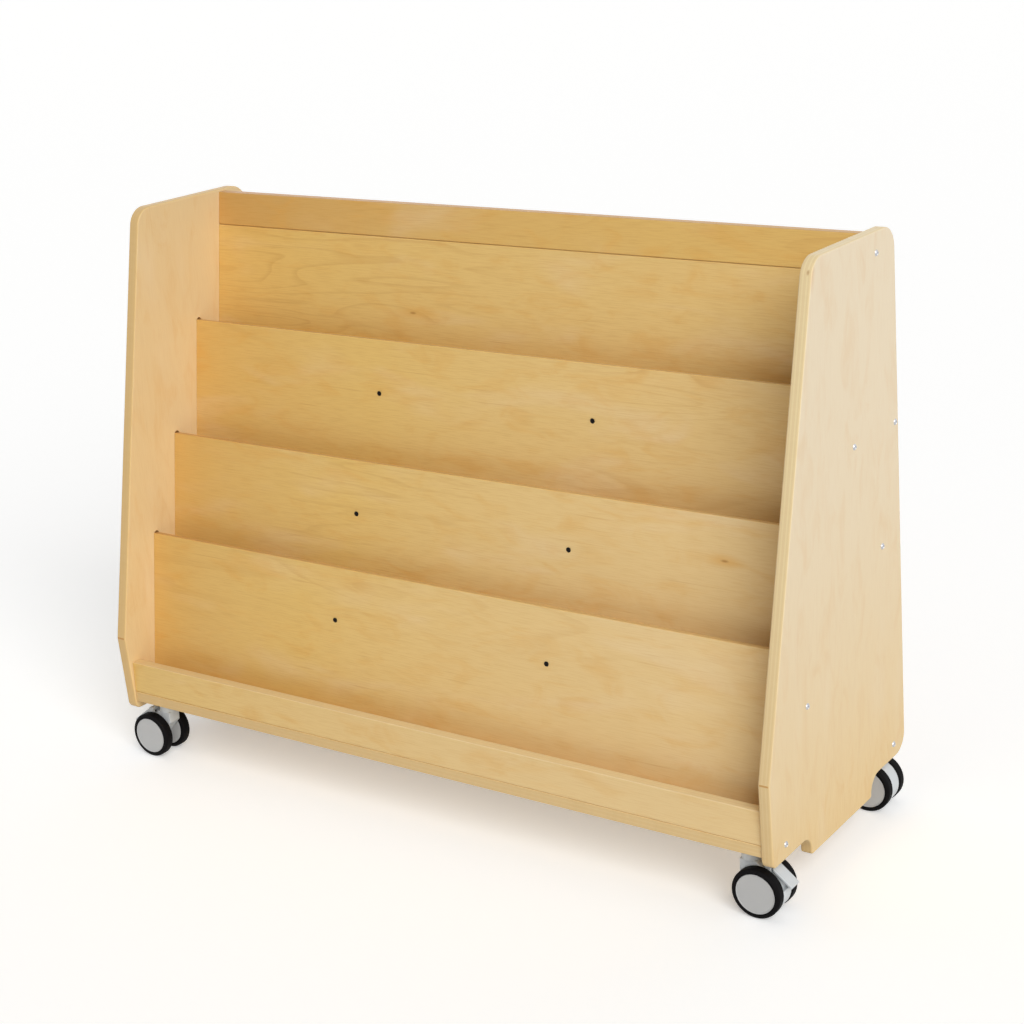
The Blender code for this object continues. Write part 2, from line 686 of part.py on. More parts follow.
def pedal_mesh():
    """Foot plate on a narrow lug, drawn from the hinge axis along the plate and then sloped down."""
    plate_top = LUG_R - PEDAL_DROP
    plate_low = plate_top - PEDAL_T
    wide = rounded([(PEDAL_ROOT, plate_low, 0.0), (PEDAL_LENGTH, plate_low, PEDAL_TIP_R),
                    (PEDAL_LENGTH, plate_top, PEDAL_TIP_R), (PEDAL_ROOT, plate_top, 0.0)])
    lug_end = PEDAL_ROOT + PEDAL_LAP
    lug_low = plate_low + PEDAL_TIP_R
    lug_top = plate_top - PEDAL_TIP_R
    round_end = arc((0.0, 0.0), LUG_R, LUG_OPENING, 2 * math.pi - LUG_OPENING)
    lug = [(lug_end, lug_low), (lug_end, lug_top), *round_end]
    pedal = guide("pedal_plate", plate_mesh("pedal_plate", wide, HOUSING_WIDTH - 2 * PEDAL_GAP))
    boss = guide("pedal_lug", plate_mesh("pedal_lug", lug, LUG_WIDTH))
    reach = LUG_WIDTH / 2 + OVERCUT
    bore_mesh = rod_mesh("pedal_bore", PIVOT_PIN_R + FIT, -reach, reach)
    bore_mesh.transform(Matrix.Rotation(math.pi / 2, 4, "X"))
    bore = guide("pedal_bore", bore_mesh)
    combine(pedal, boss, "UNION")
    combine(pedal, bore, "DIFFERENCE")
    mesh = evaluated_mesh("brake_pedal", pedal)
    for helper in (pedal, boss, bore):
        bpy.data.objects.remove(helper)
    mesh.transform(Matrix.Rotation(PEDAL_SLOPE, 4, "Y"))
    shade_round(mesh)
    return mesh


def make_casters(root):
    """Stem, housing, axle and two wheels to each caster, and a brake pedal to each front one."""
    half_axle = HOUSING_WIDTH / 2 + WHEEL_GAP + AXLE_SEAT
    pin_half = HOUSING_WIDTH / 2 - EAR_INSET - PIVOT_PIN_INSET
    meshes = {"stem": stem_mesh(), "tyre": tyre_mesh(), "hub": hub_mesh(), "pedal": pedal_mesh(),
              "axle": rod_mesh("caster_axle", AXLE_R, -half_axle, half_axle),
              "pin": rod_mesh("pedal_pin", PIVOT_PIN_R, -pin_half, pin_half),
              "plain": housing_mesh(False), "braked": housing_mesh(True)}
    for name, x, y, turn in caster_places():
        place(f"{name}_stem", meshes["stem"], "zinc_steel", root, (x, y, 0))
        swivel = make_empty(f"{name}_swivel", root, (x, y, 0), turn)
        braked = "front" in name
        place(f"{name}_housing", meshes["braked" if braked else "plain"], "grey_nylon", swivel)
        across = (math.pi / 2, 0, 0)
        place(f"{name}_axle", meshes["axle"], "zinc_steel", swivel, (TRAIL, 0, WHEEL_R), across)
        for number, sign in ((1, -1), (2, 1)):
            spot = (TRAIL, sign * WHEEL_Y, WHEEL_R)
            facing = (-sign * math.pi / 2, 0, 0)
            place(f"{name}_hub_{number}", meshes["hub"], "grey_hub", swivel, spot, facing)
            place(f"{name}_tyre_{number}", meshes["tyre"], "black_rubber", swivel, spot, facing)
        if braked:
            hinge = (PIVOT_X, 0, PIVOT_Z)
            place(f"{name}_pedal_pin", meshes["pin"], "zinc_steel", swivel, hinge, across)
            place(f"{name}_brake_pedal", meshes["pedal"], "grey_nylon", swivel, hinge)


def main():
    """Clears the scene and builds the shelf."""
    for obj in list(bpy.data.objects):
        bpy.data.objects.remove(obj, do_unlink=True)
    for name in ("book_display_shelf", "cutters"):
        collection = bpy.data.collections.new(name)
        bpy.context.scene.collection.children.link(collection)
    make_materials()
    root = make_empty("carcass", location=(0, -DEPTH / 2, 0))
    make_carcass(root)
    make_casters(root)


main()
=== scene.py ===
"""Looks of a plywood book display shelf on twin-wheel casters.

Laid out as an add-on: settings, one operator for each group of pieces, one for the stage, and a panel.
Every piece is a surface worked out with numpy, in metres: +X to the right of someone who faces the
display side, +Y to the rear and +Z up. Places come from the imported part, which stays as it is.
"""
import json
import math

import bmesh
import bpy
import numpy as np
from mathutils import Matrix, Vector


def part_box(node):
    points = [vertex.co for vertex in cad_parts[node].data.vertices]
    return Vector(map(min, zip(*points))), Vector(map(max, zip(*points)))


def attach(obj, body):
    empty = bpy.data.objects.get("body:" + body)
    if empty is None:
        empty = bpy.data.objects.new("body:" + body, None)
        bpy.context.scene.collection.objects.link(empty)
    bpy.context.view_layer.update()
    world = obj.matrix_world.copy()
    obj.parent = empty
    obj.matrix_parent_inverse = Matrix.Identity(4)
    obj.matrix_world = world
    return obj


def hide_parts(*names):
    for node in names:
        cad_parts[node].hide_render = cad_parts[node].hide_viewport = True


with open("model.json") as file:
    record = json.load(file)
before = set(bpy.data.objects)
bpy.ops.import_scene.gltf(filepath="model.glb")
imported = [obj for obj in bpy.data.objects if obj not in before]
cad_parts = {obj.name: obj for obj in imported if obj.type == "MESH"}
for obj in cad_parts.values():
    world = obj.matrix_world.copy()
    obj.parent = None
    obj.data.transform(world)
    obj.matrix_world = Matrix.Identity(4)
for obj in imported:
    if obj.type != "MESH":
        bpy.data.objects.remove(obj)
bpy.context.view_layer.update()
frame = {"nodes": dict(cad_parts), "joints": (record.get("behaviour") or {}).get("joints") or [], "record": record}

bl_info = {
    "name": "Book Display Shelf",
    "version": (1, 0, 0),
    "blender": (4, 5, 0),
    "location": "View3D > Sidebar > Shelf",
    "description": "Dresses a plywood book display shelf on casters",
    "category": "Object",
}

BODY_OF = {node: body for body, nodes in frame["record"]["behaviour"]["bodies"].items() for node in nodes}
JOINT_AT = {joint["name"]: np.array(joint["pos_m"]) for joint in frame["joints"]}
CASTERS = ("caster_front_left", "caster_front_right", "caster_rear_left", "caster_rear_right")
SIDES = {"side_left": -1, "side_right": 1}
PANELS = ("display_panel_1", "display_panel_2", "display_panel_3", "display_panel_4")
BACKED_PANELS = {"display_panel_1": "slot_ledge", "display_panel_2": "middle_shelf",
                 "display_panel_3": "upper_shelf"}
MERGE = 1e-7                      # points closer than this are one
SHARP = math.radians(32.0)        # edges sharper than this stay crisp
SUPPORT = 0.0008                  # loop beside a rounded edge that keeps the flat face flat
CLEAR = 0.010                     # how far a cutter stands out of the face that it cuts
GAP = 0.0003                      # gap between a caster's parts
CHAMFER = 0.0005                  # turned edges of a caster's steel, and the depth of its race line
BREAK = 0.0006                    # broken edges of a caster's mouldings
CREASE = 0.0001                   # step that shows as a fine line
ACROSS_X = [2, 0, 1]              # turns (y, z, x) into (x, y, z)
ACROSS_Y = [0, 2, 1]              # turns (x, z, y) into (x, y, z)
WHEEL_STEPS, HEAD_STEPS, STEM_STEPS, HOLE_STEPS, SCREW_STEPS = 96, 64, 48, 32, 72

# Arcs of a caster's housing about its axle, counted from the trailing side
FENDER_ARC, BRAKED_ARC, NOTCH_ARC, BOSS_ARC, EAR_ARC = np.radians(
    [(-35.0, 90.0), (-35.0, 8.0), (10.0, 85.0), (190.0, 270.0), (82.0, 55.0)])

# Each board's number, its tone at the face, in the core and at the back, and the painted shade added to
# the tone at the start of its grain. The painted shade darkens and warms the panels, lip, rail and
# shelves towards their left ends and the sides towards the floor, as shade and reflections fall there.
# The number sets the stretch of veneer that the board is cut from.
VENEERS = {
    # The left side's core tone, far darker than the right side's, is painted shade on its cut edges, which stand
    # further from the main light
    "side_left": (1, (0.12, 0.92, 0.50), 0.08), "side_right": (2, (0.0, 0.0, 0.48), 0.70),
    "display_panel_1": (3, (0.68, 1.0, 1.0), 0.60), "display_panel_2": (4, (0.70, 1.0, 1.0), 0.64),
    "display_panel_3": (5, (0.79, 1.0, 1.0), 0.46), "display_panel_4": (6, (0.87, 1.0, 1.0), 0.21),
    "top_rail": (8, (1.10, 1.5, 0.9), 0.54), "front_lip": (9, (0.64, 0.25, 0.74), 0.34),
    "base_board": (10, (0.7, 0.64, 0.5), 0.30), "slot_ledge": (11, (0.7, 0.64, 0.5), 0.30),
    "middle_shelf": (12, (0.7, 0.64, 0.5), 0.30), "upper_shelf": (13, (0.7, 0.64, 0.5), 0.30)}
VENEER = 0.0010                   # below this depth a cut edge shows the core
VENEER_STEP = (1.37, 0.61, 0.0)   # from one board's stretch of veneer to the next one's
RINGS = 11.0                      # growth rings over the whole range of the figure
LAYER = 0.003                     # layers of the ply, as drawn
KNOTS = {"display_panel_2": (0.4536, -0.0701, 0.4633), "display_panel_4": (-0.1754, 0.0797, 0.7339),
         "side_right": (0.5942, -0.0939, 0.8895)}
NO_KNOT = (0.0, 0.0, -1.0)        # a knot this far below the floor shows on no board
KNOT_SIZE = (9.0, 3.0, 3.0)       # a knot's eye along and across the grain and down, in mm
WHITE = (1.0, 1.0, 1.0, 1.0)
MIX_FACTOR, MIX_A, MIX_B, MIX_RESULT = 0, 6, 7, 2


def linear(code):
    """Linear RGB of an sRGB hex colour."""
    value = np.array([int(code[i:i + 2], 16) for i in (1, 3, 5)]) / 255
    return np.where(value <= 0.04045, value / 12.92, ((value + 0.055) / 1.055) ** 2.4).tolist()


def length(name, description, metres):
    """Property for a length."""
    return bpy.props.FloatProperty(name=name, description=description, default=metres, min=0.0,
                                   precision=4, unit="LENGTH")


def angle(name, description, degrees):
    """Property for an angle."""
    return bpy.props.FloatProperty(name=name, description=description, default=math.radians(degrees),
                                   unit="ROTATION", subtype="ANGLE")


def colour(name, description, code):
    """Property for a colour, given as sRGB hex."""
    return bpy.props.FloatVectorProperty(name=name, description=description, default=linear(code),
                                         min=0.0, max=1.0, size=3, subtype="COLOR")


def level(name, description, value):
    """Property for a plain number."""
    return bpy.props.FloatProperty(name=name, description=description, default=value, min=0.0)


class ShelfBoards(bpy.types.PropertyGroup):
    """Sizes of the plywood boards."""

    lean: angle("Lean", "Lean of the display panels and the rail from upright", 8.0)
    panel_ply: length("Panel thickness", "Plywood of the display panels", 0.012)
    board_ease: length("Board edges", "Rounding of the panels' and shelves' edges", 0.0015)
    rail_ease: length("Rail edges", "Rounding of the rail's and the lip's edges", 0.0018)
    side_ease: length("Side edges", "Rounding of the side panels' edges", 0.0025)
    groove: length("Groove depth", "Depth of the grooves that hold the panels' ends", 0.006)
    groove_gap: length("Groove gap", "Room round a panel's end in its groove", 0.0004)
    groove_end: length("Groove end", "Groove above a panel's top at its round end", 0.0036)
    rear_slope: level("Rear slope", "Run of the sides' rear edge for each metre of rise", 0.0751)


class ShelfSides(bpy.types.PropertyGroup):
    """Outline of the side panels."""

    knee_height: length("Knee height", "Knee in the front edge above the floor", 0.215)
    knee_radius: length("Knee radius", "Softening of the knee", 0.006)
    top_setback: length("Top setback", "Front edge at the top, behind the knee", 0.137)
    toe_setback: length("Toe setback", "Front edge at the bottom, behind the knee", 0.0095)
    rear_spread: length("Rear spread", "Rear edge further back at the bottom than at the top", 0.0616)
    arch_height: length("Arch height", "Edge over the wheels above the floor", 0.086)
    arch_reach: length("Arch reach", "Arch wall from the swivel axis", 0.083)
    front_top_radius: length("Front top radius", "Front corner at the top", 0.032)
    rear_top_radius: length("Rear top radius", "Rear corner at the top", 0.035)
    rear_foot_radius: length("Rear foot radius", "Rear corner at the bottom", 0.030)
    toe_radius: length("Toe radius", "Front corner at the bottom", 0.012)
    arch_radius: length("Arch radius", "Inner corner of an arch", 0.025)
    skirt_radius: length("Skirt radius", "Corners of the skirt between the arches", 0.005)
    scorch: length("Scorch", "Dark mark on the cut edge, up and down from the knee", 0.0009)
    scorch_tone: level("Scorch tone", "How much the mark darkens the edge", 1.2)


class ShelfScrews(bpy.types.PropertyGroup):
    """Sizes of the screws."""

    head_height: length("Head height", "Height of a countersunk head", 0.0026)
    shank_radius: length("Shank radius", "Radius of a screw's shank", 0.002)
    tip: length("Tip", "Length of a screw's point", 0.004)
    hole_gap: length("Hole gap", "Room round a screw in its hole", 0.0003)
    side_dome: length("Side dome", "Rise of a side screw's head", 0.0031)
    side_brim: length("Side brim", "Side screw's head past its hole", 0.0006)
    panel_dome: length("Panel dome", "Rise of a panel screw's head", 0.0004)
    head_roll: length("Head roll", "Rolled edge of a screw's head", 0.0003)
    cross_reach: level("Cross reach", "Recess's arms as a share of the head's radius", 0.62)
    cross_width: length("Cross width", "Width of the recess's arms", 0.0011)
    cross_depth: length("Cross depth", "Depth of the recess", 0.0016)
    panel_spacing: length("Panel screw spacing", "Between the two screws of a display panel", 0.394)
    panel_head: length("Panel head radius", "Head of a panel screw", 0.0040)
    panel_hole: length("Panel hole radius", "Hole round a panel screw's head", 0.0035)
    panel_hole_depth: length("Panel hole depth", "Depth of the hole round a panel screw's head", 0.004)
    panel_proud: length("Panel head height", "Head of a panel screw in front of the panel's face", 0.0009)
    panel_length: length("Panel screw length", "Length of a panel screw", 0.034)


class ShelfCasters(bpy.types.PropertyGroup):
    """Sizes of the casters."""

    fender_drop: length("Fender drop", "Housing's rim inside the tread", 0.0015)
    notch_drop: length("Notch drop", "Housing's rim under the pedal, inside the tread", 0.0065)
    boss_radius: length("Boss radius", "Housing round the axle", 0.011)
    neck_half: length("Neck half length", "Half of the housing's neck under the head", 0.0126)
    neck_drop: length("Neck drop", "Neck's leading edge below the head", 0.0165)
    head_radius: length("Head radius", "Swivel head", 0.014)
    head_clear: length("Head clearance", "Swivel head above the wheels", 0.0015)
    race_rise: length("Race rise", "Race line above the middle of the swivel head", 0.004)
    stem_radius: length("Stem radius", "Stem in the base board", 0.005)
    pin_radius: length("Pin radius", "Pin that the housing swivels on", 0.004)
    moulded_edge: length("Moulded edges", "Rounding of the housing's edges", 0.0012)
    tyre_shoulder: length("Tyre shoulder", "Rounding of the tread's edges", 0.0042)
    rim_width: length("Rim width", "Round bead along the edge of the hub's disc", 0.0018)
    dish: length("Dish", "Hub's disc below its bead", 0.0008)
    tyre_lap: length("Tyre lap", "Tyre's side over the edge of the hub", 0.0017)
    tyre_bead: length("Tyre bead", "Rounding of the tyre's inner edges", 0.0007)
    hub_bore: length("Hub bore", "Radius of the bore at the hub's back", 0.0045)
    hub_bore_depth: length("Hub bore depth", "Depth of the bore at the hub's back", 0.002)
    hub_mouth: length("Hub mouth", "Radius of the dish round the hub's bore", 0.0075)
    hub_lead: length("Hub lead", "Slope from the hub's mouth into the dish", 0.0007)
    ear_radius: length("Ear radius", "Ears round the pedal's hinge", 0.0046)
    ear_width: length("Ear width", "Width of each ear", 0.0049)
    ear_inset: length("Ear inset", "Ears in from the housing's sides", 0.0004)
    ear_root: length("Ear root", "Foot of the ears from the axle", 0.027)
    lug_radius: length("Lug radius", "Pedal's lug round its hinge", 0.0042)
    lug_width: length("Lug width", "Width of the pedal's lug", 0.012)
    pedal_slope: angle("Pedal slope", "Pedal's fall from level at rest", 37.6)
    pedal_root: length("Pedal root", "Where the pedal's plate starts, from its hinge", 0.0086)
    pedal_length: length("Pedal length", "Pedal's tip from its hinge", 0.046)
    pedal_plate: length("Pedal plate", "Thickness of the pedal's plate", 0.004)
    pedal_drop: length("Pedal drop", "Plate's top below the lug's", 0.0004)
    pedal_lap: length("Pedal lap", "Lug's run under the plate", 0.005)
    pedal_tuck: length("Pedal tuck", "Lug's end in from the plate's top and underside", 0.0015)
    pedal_nose: length("Pedal nose", "Round over the pedal's tip", 0.0019)
    pedal_chin: length("Pedal chin", "Round under the pedal's tip", 0.0014)
    plate_ease: length("Plate edges", "Rounding of the plate's long edges", 0.0009)
    lug_ease: length("Lug edges", "Rounding of the lug's sides", 0.0003)


class ShelfColours(bpy.types.PropertyGroup):
    """Colours of the finishes."""

    cream: colour("Birch, pale", "Palest veneer, as on the outside of the sides", "#F6E4C5")
    amber: colour("Birch, amber", "Warm veneer, as on the display side", "#E9C272")
    deep: colour("Birch, deep", "Darkest veneer, as on the top rail", "#C89251")
    gold: colour("Birch, gold", "Mottle in the veneer", "#E1A54A")
    ring: colour("Birch, figure", "Late wood, fibres and streaks in the veneer", "#C08236")
    knot: colour("Birch, knot", "Pin knots", "#A16725")
    ply_light: colour("Ply edge, light", "Layers cut along their grain", "#F5DFAF")
    ply_dark: colour("Ply edge, dark", "Layers cut across their grain", "#D7AF6F")
    glue: colour("Ply edge, glue", "Glue lines between the layers", "#AE804A")
    zinc: colour("Zinc", "Side screws and caster pins", "#C9CBD0")
    black_oxide: colour("Black oxide", "Panel screws", "#15110F")
    nylon: colour("Nylon", "Caster housings and pedals", "#DADFE2")
    disc: colour("Hub disc", "Wheel discs", "#C0C0BF")
    rubber: colour("Rubber", "Tyres", "#0E0D0E")
    floor: colour("Floor", "Plain pale floor", "#F8F8F7")


class ShelfStage(bpy.types.PropertyGroup):
    """Camera and light."""

    lens: bpy.props.FloatProperty(name="Lens", description="Focal length on a 36 mm sensor",
                                  default=70.99, unit="CAMERA")
    camera_at: bpy.props.FloatVectorProperty(name="Camera place", description="Where the camera stands",
                                             default=(1.7151, -2.4280, 1.4252), subtype="TRANSLATION")
    azimuth: angle("Camera azimuth", "Camera round to the right of the front", 34.45)
    elevation: angle("Camera elevation", "Camera above level", 18.19)
    roll: angle("Camera roll", "Camera's turn about its line of sight", 2.93)
    ambient: level("Ambient", "Light from all round", 0.252)
    key: level("Key", "Strength of the soft main light from the right", 2.0)
    key_azimuth: angle("Key azimuth", "Main light round to the right of the front", 50.0)
    key_elevation: angle("Key elevation", "Main light above level", 35.0)
    key_spread: angle("Key spread", "Width of the main light as the object sees it", 40.0)
    fill: level("Fill", "Strength of the weak light from behind", 0.6)
    fill_azimuth: angle("Fill azimuth", "Weak light round to the right of the front", 225.0)
    fill_elevation: angle("Fill elevation", "Weak light above level", 30.0)
    fill_spread: angle("Fill spread", "Width of the weak light as the object sees it", 120.0)
    lift: level("Floor lift", "Light added to the floor where it is seen, to keep it pale", 0.30)
    floor_reach: length("Floor reach", "Half width of the floor", 60.0)


GROUPS = {"shelf_boards": ShelfBoards, "shelf_sides": ShelfSides, "shelf_screws": ShelfScrews,
          "shelf_casters": ShelfCasters, "shelf_colours": ShelfColours, "shelf_stage": ShelfStage}


def box(node):
    """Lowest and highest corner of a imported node, as arrays."""
    low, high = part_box(node)
    return np.array(low), np.array(high)


def unit(vectors):
    """Vectors of length one."""
    return vectors / np.linalg.norm(vectors, axis=-1, keepdims=True)


def bearing(azimuth, elevation):
    """Direction towards an azimuth, counted from the front to the right, and an elevation."""
    flat = math.cos(elevation)
    return np.array([flat * math.sin(azimuth), -flat * math.cos(azimuth), math.sin(elevation)])


def arc(centre, radius, start, end, steps):
    """Points centre + radius (cos t, sin t) for t from start to end."""
    t = np.linspace(start, end, steps + 1)
    return np.asarray(centre) + radius * np.stack([np.cos(t), np.sin(t)], 1)


def fillet(corners, radii, steps):
    """Closed outline with a round at each corner.

    The round's centre lies on the corner's bisector at radius / sin(half angle). Its points swing from
    one tangent radius to the other: (sin((1 - t) w) a + sin(t w) b) / sin w, where w is the turn. A
    point on each straight side, beside the round, keeps the shading of flat faces flat.
    """
    here = np.asarray(corners, float)
    radius = np.asarray(radii, float)[:, None]
    before = unit(np.roll(here, 1, 0) - here)
    after = unit(np.roll(here, -1, 0) - here)
    half = np.arccos((before * after).sum(1, keepdims=True)) / 2
    reach = radius / np.tan(half)
    centre = here + unit(before + after) * radius / np.sin(half)
    first = here + before * reach - centre
    last = here + after * reach - centre
    turn = (np.pi - 2 * half)[:, :, None]
    t = np.linspace(0, 1, steps + 1)[None, :, None]
    swing = np.sin((1 - t) * turn) * first[:, None] + np.sin(t * turn) * last[:, None]
    rounds = centre[:, None] + swing / np.sin(turn)
    long = np.linalg.norm(np.roll(here, -1, 0) - here, axis=1, keepdims=True)
    step = np.minimum(SUPPORT, (long - reach - np.roll(reach, -1, 0)) / 3)
    lead = (centre + first + before * np.roll(step, 1, 0))[:, None]
    tail = (centre + last + after * step)[:, None]
    return np.concatenate([lead, rounds, tail], 1).reshape(-1, 2)


def mitre(outline):
    """Outward step at each point of a counter-clockwise outline that moves both its sides out by one.

    With side normals n and m it is (n + m) / (1 + n . m).
    """
    side = unit(np.roll(outline, -1, 0) - outline)
    normal = np.stack([side[:, 1], -side[:, 0]], 1)
    other = np.roll(normal, 1, 0)
    return (normal + other) / (1 + (normal * other).sum(1, keepdims=True))


def slab(outline, low, high, ease, steps=5):
    """Rings of a slab with this outline in (u, v) between two levels of w, its rims rounded.

    Along a rim the outline moves in by ease (1 - sin t) while the level is ease (1 - cos t) from the
    face, for t from 0 to a quarter turn. A last ring further in keeps the face's shading flat.
    """
    t = np.linspace(0, np.pi / 2, steps + 1)
    inset = np.concatenate([[ease + SUPPORT], ease * (1 - np.sin(t))])
    depth = np.concatenate([[0.0], ease * (1 - np.cos(t))])
    insets = np.concatenate([inset, inset[::-1]])
    levels = np.concatenate([low + depth, (high - depth)[::-1]])
    ring = outline[None] - mitre(outline)[None] * insets[:, None, None]
    return np.concatenate([ring, np.broadcast_to(levels[:, None, None], (*ring.shape[:2], 1))], 2)


def turned(profile, steps):
    """Rings of a profile (r, w) spun about the w axis: (r cos a, r sin a, w)."""
    radius, height = np.asarray(profile, float).T
    a = np.linspace(0, 2 * np.pi, steps, endpoint=False)
    return np.stack([np.outer(radius, np.cos(a)), np.outer(radius, np.sin(a)),
                     np.repeat(height[:, None], steps, 1)], 2)


def aim(points, place, axis):
    """Points moved so that their w runs along an axis and their origin lies at a place."""
    axis = unit(np.asarray(axis, float))
    aside = (1.0, 0.0, 0.0) if abs(axis[2]) > 0.9 else np.cross((0.0, 0.0, 1.0), axis)
    first = unit(np.asarray(aside, float))
    return np.asarray(place) + points @ np.stack([first, np.cross(axis, first), axis])


def skin(name, rings, closed=False):
    """Closed mesh over an array of rings (ring, point, xyz).

    Quads join each ring to the next, and the last ring to the first where the surface closes on
    itself. Otherwise a flat face closes each end ring, and a ring shrunk to a point is a pole.
    """
    rows, columns = rings.shape[:2]
    row = np.arange(rows if closed else rows - 1)[:, None]
    column = np.arange(columns)[None, :]
    beside = (column + 1) % columns
    ahead = (row + 1) % rows
    quads = np.stack([row * columns + column, row * columns + beside,
                      ahead * columns + beside, ahead * columns + column], 2)
    faces = quads.reshape(-1, 4).tolist()
    if not closed:
        ring = np.arange(columns)
        faces += [ring[::-1].tolist(), (ring + (rows - 1) * columns).tolist()]
    mesh = bpy.data.meshes.new(name)
    mesh.from_pydata(rings.reshape(-1, 3), [], faces)
    work = bmesh.new()
    work.from_mesh(mesh)
    bmesh.ops.remove_doubles(work, verts=work.verts, dist=MERGE)
    bmesh.ops.recalc_face_normals(work, faces=work.faces)
    work.to_mesh(mesh)
    work.free()
    return mesh


def carve(mesh, operation, tools):
    """Mesh after a Boolean with each tool mesh in turn."""
    objects = [bpy.data.objects.new(part.name, part) for part in (mesh, *tools)]
    for obj in objects:
        bpy.context.scene.collection.objects.link(obj)
    for tool in objects[1:]:
        step = objects[0].modifiers.new(tool.name, "BOOLEAN")
        step.operation = operation
        step.object = tool
    bpy.context.view_layer.update()
    shaped = objects[0].evaluated_get(bpy.context.evaluated_depsgraph_get())
    result = bpy.data.meshes.new_from_object(shaped)
    for obj in objects:
        bpy.data.objects.remove(obj)
    return result


def piece(name, mesh, material, node=None, body=None):
    """Shown piece at the origin that rides on a body and, where it is named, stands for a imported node."""
    mesh.materials.clear()
    mesh.materials.append(material)
    mesh.shade_smooth()
    mesh.set_sharp_from_angle(angle=SHARP)
    obj = bpy.data.objects.new(name, mesh)
    bpy.context.scene.collection.objects.link(obj)
    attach(obj, body or BODY_OF[node])
    if node:
        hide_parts(node)
    return obj


def get_points(mesh):
    """A mesh's points as an array."""
    points = np.empty(len(mesh.vertices) * 3, np.float32)
    mesh.vertices.foreach_get("co", points)
    return points.reshape(-1, 3)


def set_points(mesh, points):
    """Moves a mesh's points to new places."""
    mesh.vertices.foreach_set("co", points.astype(np.float32).ravel())
    mesh.update()


def set_attribute(mesh, name, kind, key, values):
    """Stores one value for each point of a mesh."""
    attribute = mesh.attributes.new(name, kind, "POINT")
    attribute.data.foreach_set(key, np.ascontiguousarray(values, np.float32).ravel())


def lay_grain(mesh, name, axes, face, thickness):
    """Stores where each point of a named board lies in it, in metres.

    axes are the directions along the grain, across it and down from the face, whose own place along
    the last one is face. The first two places are moved by a step of the board's own, so that each
    board is cut from another stretch of veneer. cut_depth is how far a point lies below the nearer
    face. tone runs from the first value at the face to the second one in the core, which the cut edges
    show, and to the third one at the back. The painted shade runs from nothing at the end of the grain
    to the root of the board's painted shade tone at its start, and its square is added to the tone: it
    darkens and warms the board towards the start of its grain, as shade and reflections would. knot is
    the way to the point from the middle of the board's knot.
    """
    number, (face_tone, core_tone, back_tone), painted_shade_tone = VENEERS[name]
    along = np.asarray(axes, float).T
    points = get_points(mesh)
    place = points @ along
    start, end = place[:, 0].min(), place[:, 0].max()
    drift = math.sqrt(painted_shade_tone) * (end - place[:, 0]) / (end - start)
    place += np.array(VENEER_STEP) * number
    place[:, 2] -= face
    depth = np.clip(place[:, 2], 0.0, thickness)
    tone = np.interp(depth, [0.0, VENEER, thickness - VENEER, thickness],
                     [face_tone, core_tone, core_tone, back_tone])
    knot = (points - KNOTS.get(name, NO_KNOT)) @ along
    cut_depth = np.minimum(depth, thickness - depth)
    for key, values in (("knot", knot), ("grain", place)):
        set_attribute(mesh, key, "FLOAT_VECTOR", "vector", values)
    for key, values in (("cut_depth", cut_depth), ("tone", tone), ("drift", drift)):
        set_attribute(mesh, key, "FLOAT", "value", values)


def scorch_knee(mesh, sides, front, ease):
    """Adds to the tone on the cut edge round the knee, where the cutter turned and scorched the wood.

    The points are those in front of and beside the knee that lie at least as deep as the eased rim.
    """
    tone, depth = (np.empty(len(mesh.vertices), np.float32) for _ in range(2))
    mesh.attributes["tone"].data.foreach_get("value", tone)
    mesh.attributes["cut_depth"].data.foreach_get("value", depth)
    away = get_points(mesh)[:, 1:] - (front, sides.knee_height)
    marked = (np.abs(away) < sides.scorch).all(1) & (depth > ease - MERGE)
    mesh.attributes["tone"].data.foreach_set("value", tone + sides.scorch_tone * marked.astype(np.float32))


def node(tree, kind, settings=None, inputs=None):
    """Adds a shader node with its settings. Each input is a value, or the socket that it is linked to."""
    made = tree.nodes.new("ShaderNode" + kind)
    for name, value in (settings or {}).items():
        setattr(made, name, value)
    for key, value in (inputs or {}).items():
        if isinstance(value, bpy.types.NodeSocket):
            tree.links.new(value, made.inputs[key])
        else:
            made.inputs[key].default_value = value
    return made


def maths(tree, operation, *values):
    """Result of a Math node on values or sockets."""
    return node(tree, "Math", {"operation": operation}, dict(enumerate(values))).outputs[0]


def ramp(tree, value, span, ends=(0.0, 1.0), smooth=False):
    """Value carried from a span to between two ends, and held there, in a straight line or an S curve."""
    kind = {"interpolation_type": "SMOOTHSTEP" if smooth else "LINEAR"}
    keys = ("Value", "From Min", "From Max", "To Min", "To Max")
    return node(tree, "MapRange", kind, dict(zip(keys, (value, *span, *ends)))).outputs[0]


def blend(tree, factor, first, second):
    """Mix of two colours by a factor."""
    return node(tree, "Mix", {"data_type": "RGBA"}, {
        MIX_FACTOR: factor, MIX_A: first, MIX_B: second}).outputs[MIX_RESULT]


def seen(tree):
    """One on rays from the camera, a reflection or a refraction, and nothing on rays that carry light."""
    path = node(tree, "LightPath").outputs
    direct = maths(tree, "MAXIMUM", path["Is Camera Ray"], path["Is Glossy Ray"])
    return maths(tree, "MAXIMUM", direct, path["Is Transmission Ray"])


def start_material(name):
    """Empty node material, or None where it is made already."""
    if name in bpy.data.materials:
        return None
    material = bpy.data.materials.new(name)
    material.use_nodes = True
    material.node_tree.nodes.clear()
    return material


def rgba(value):
    """Colour with full cover."""
    return (*value, 1.0)


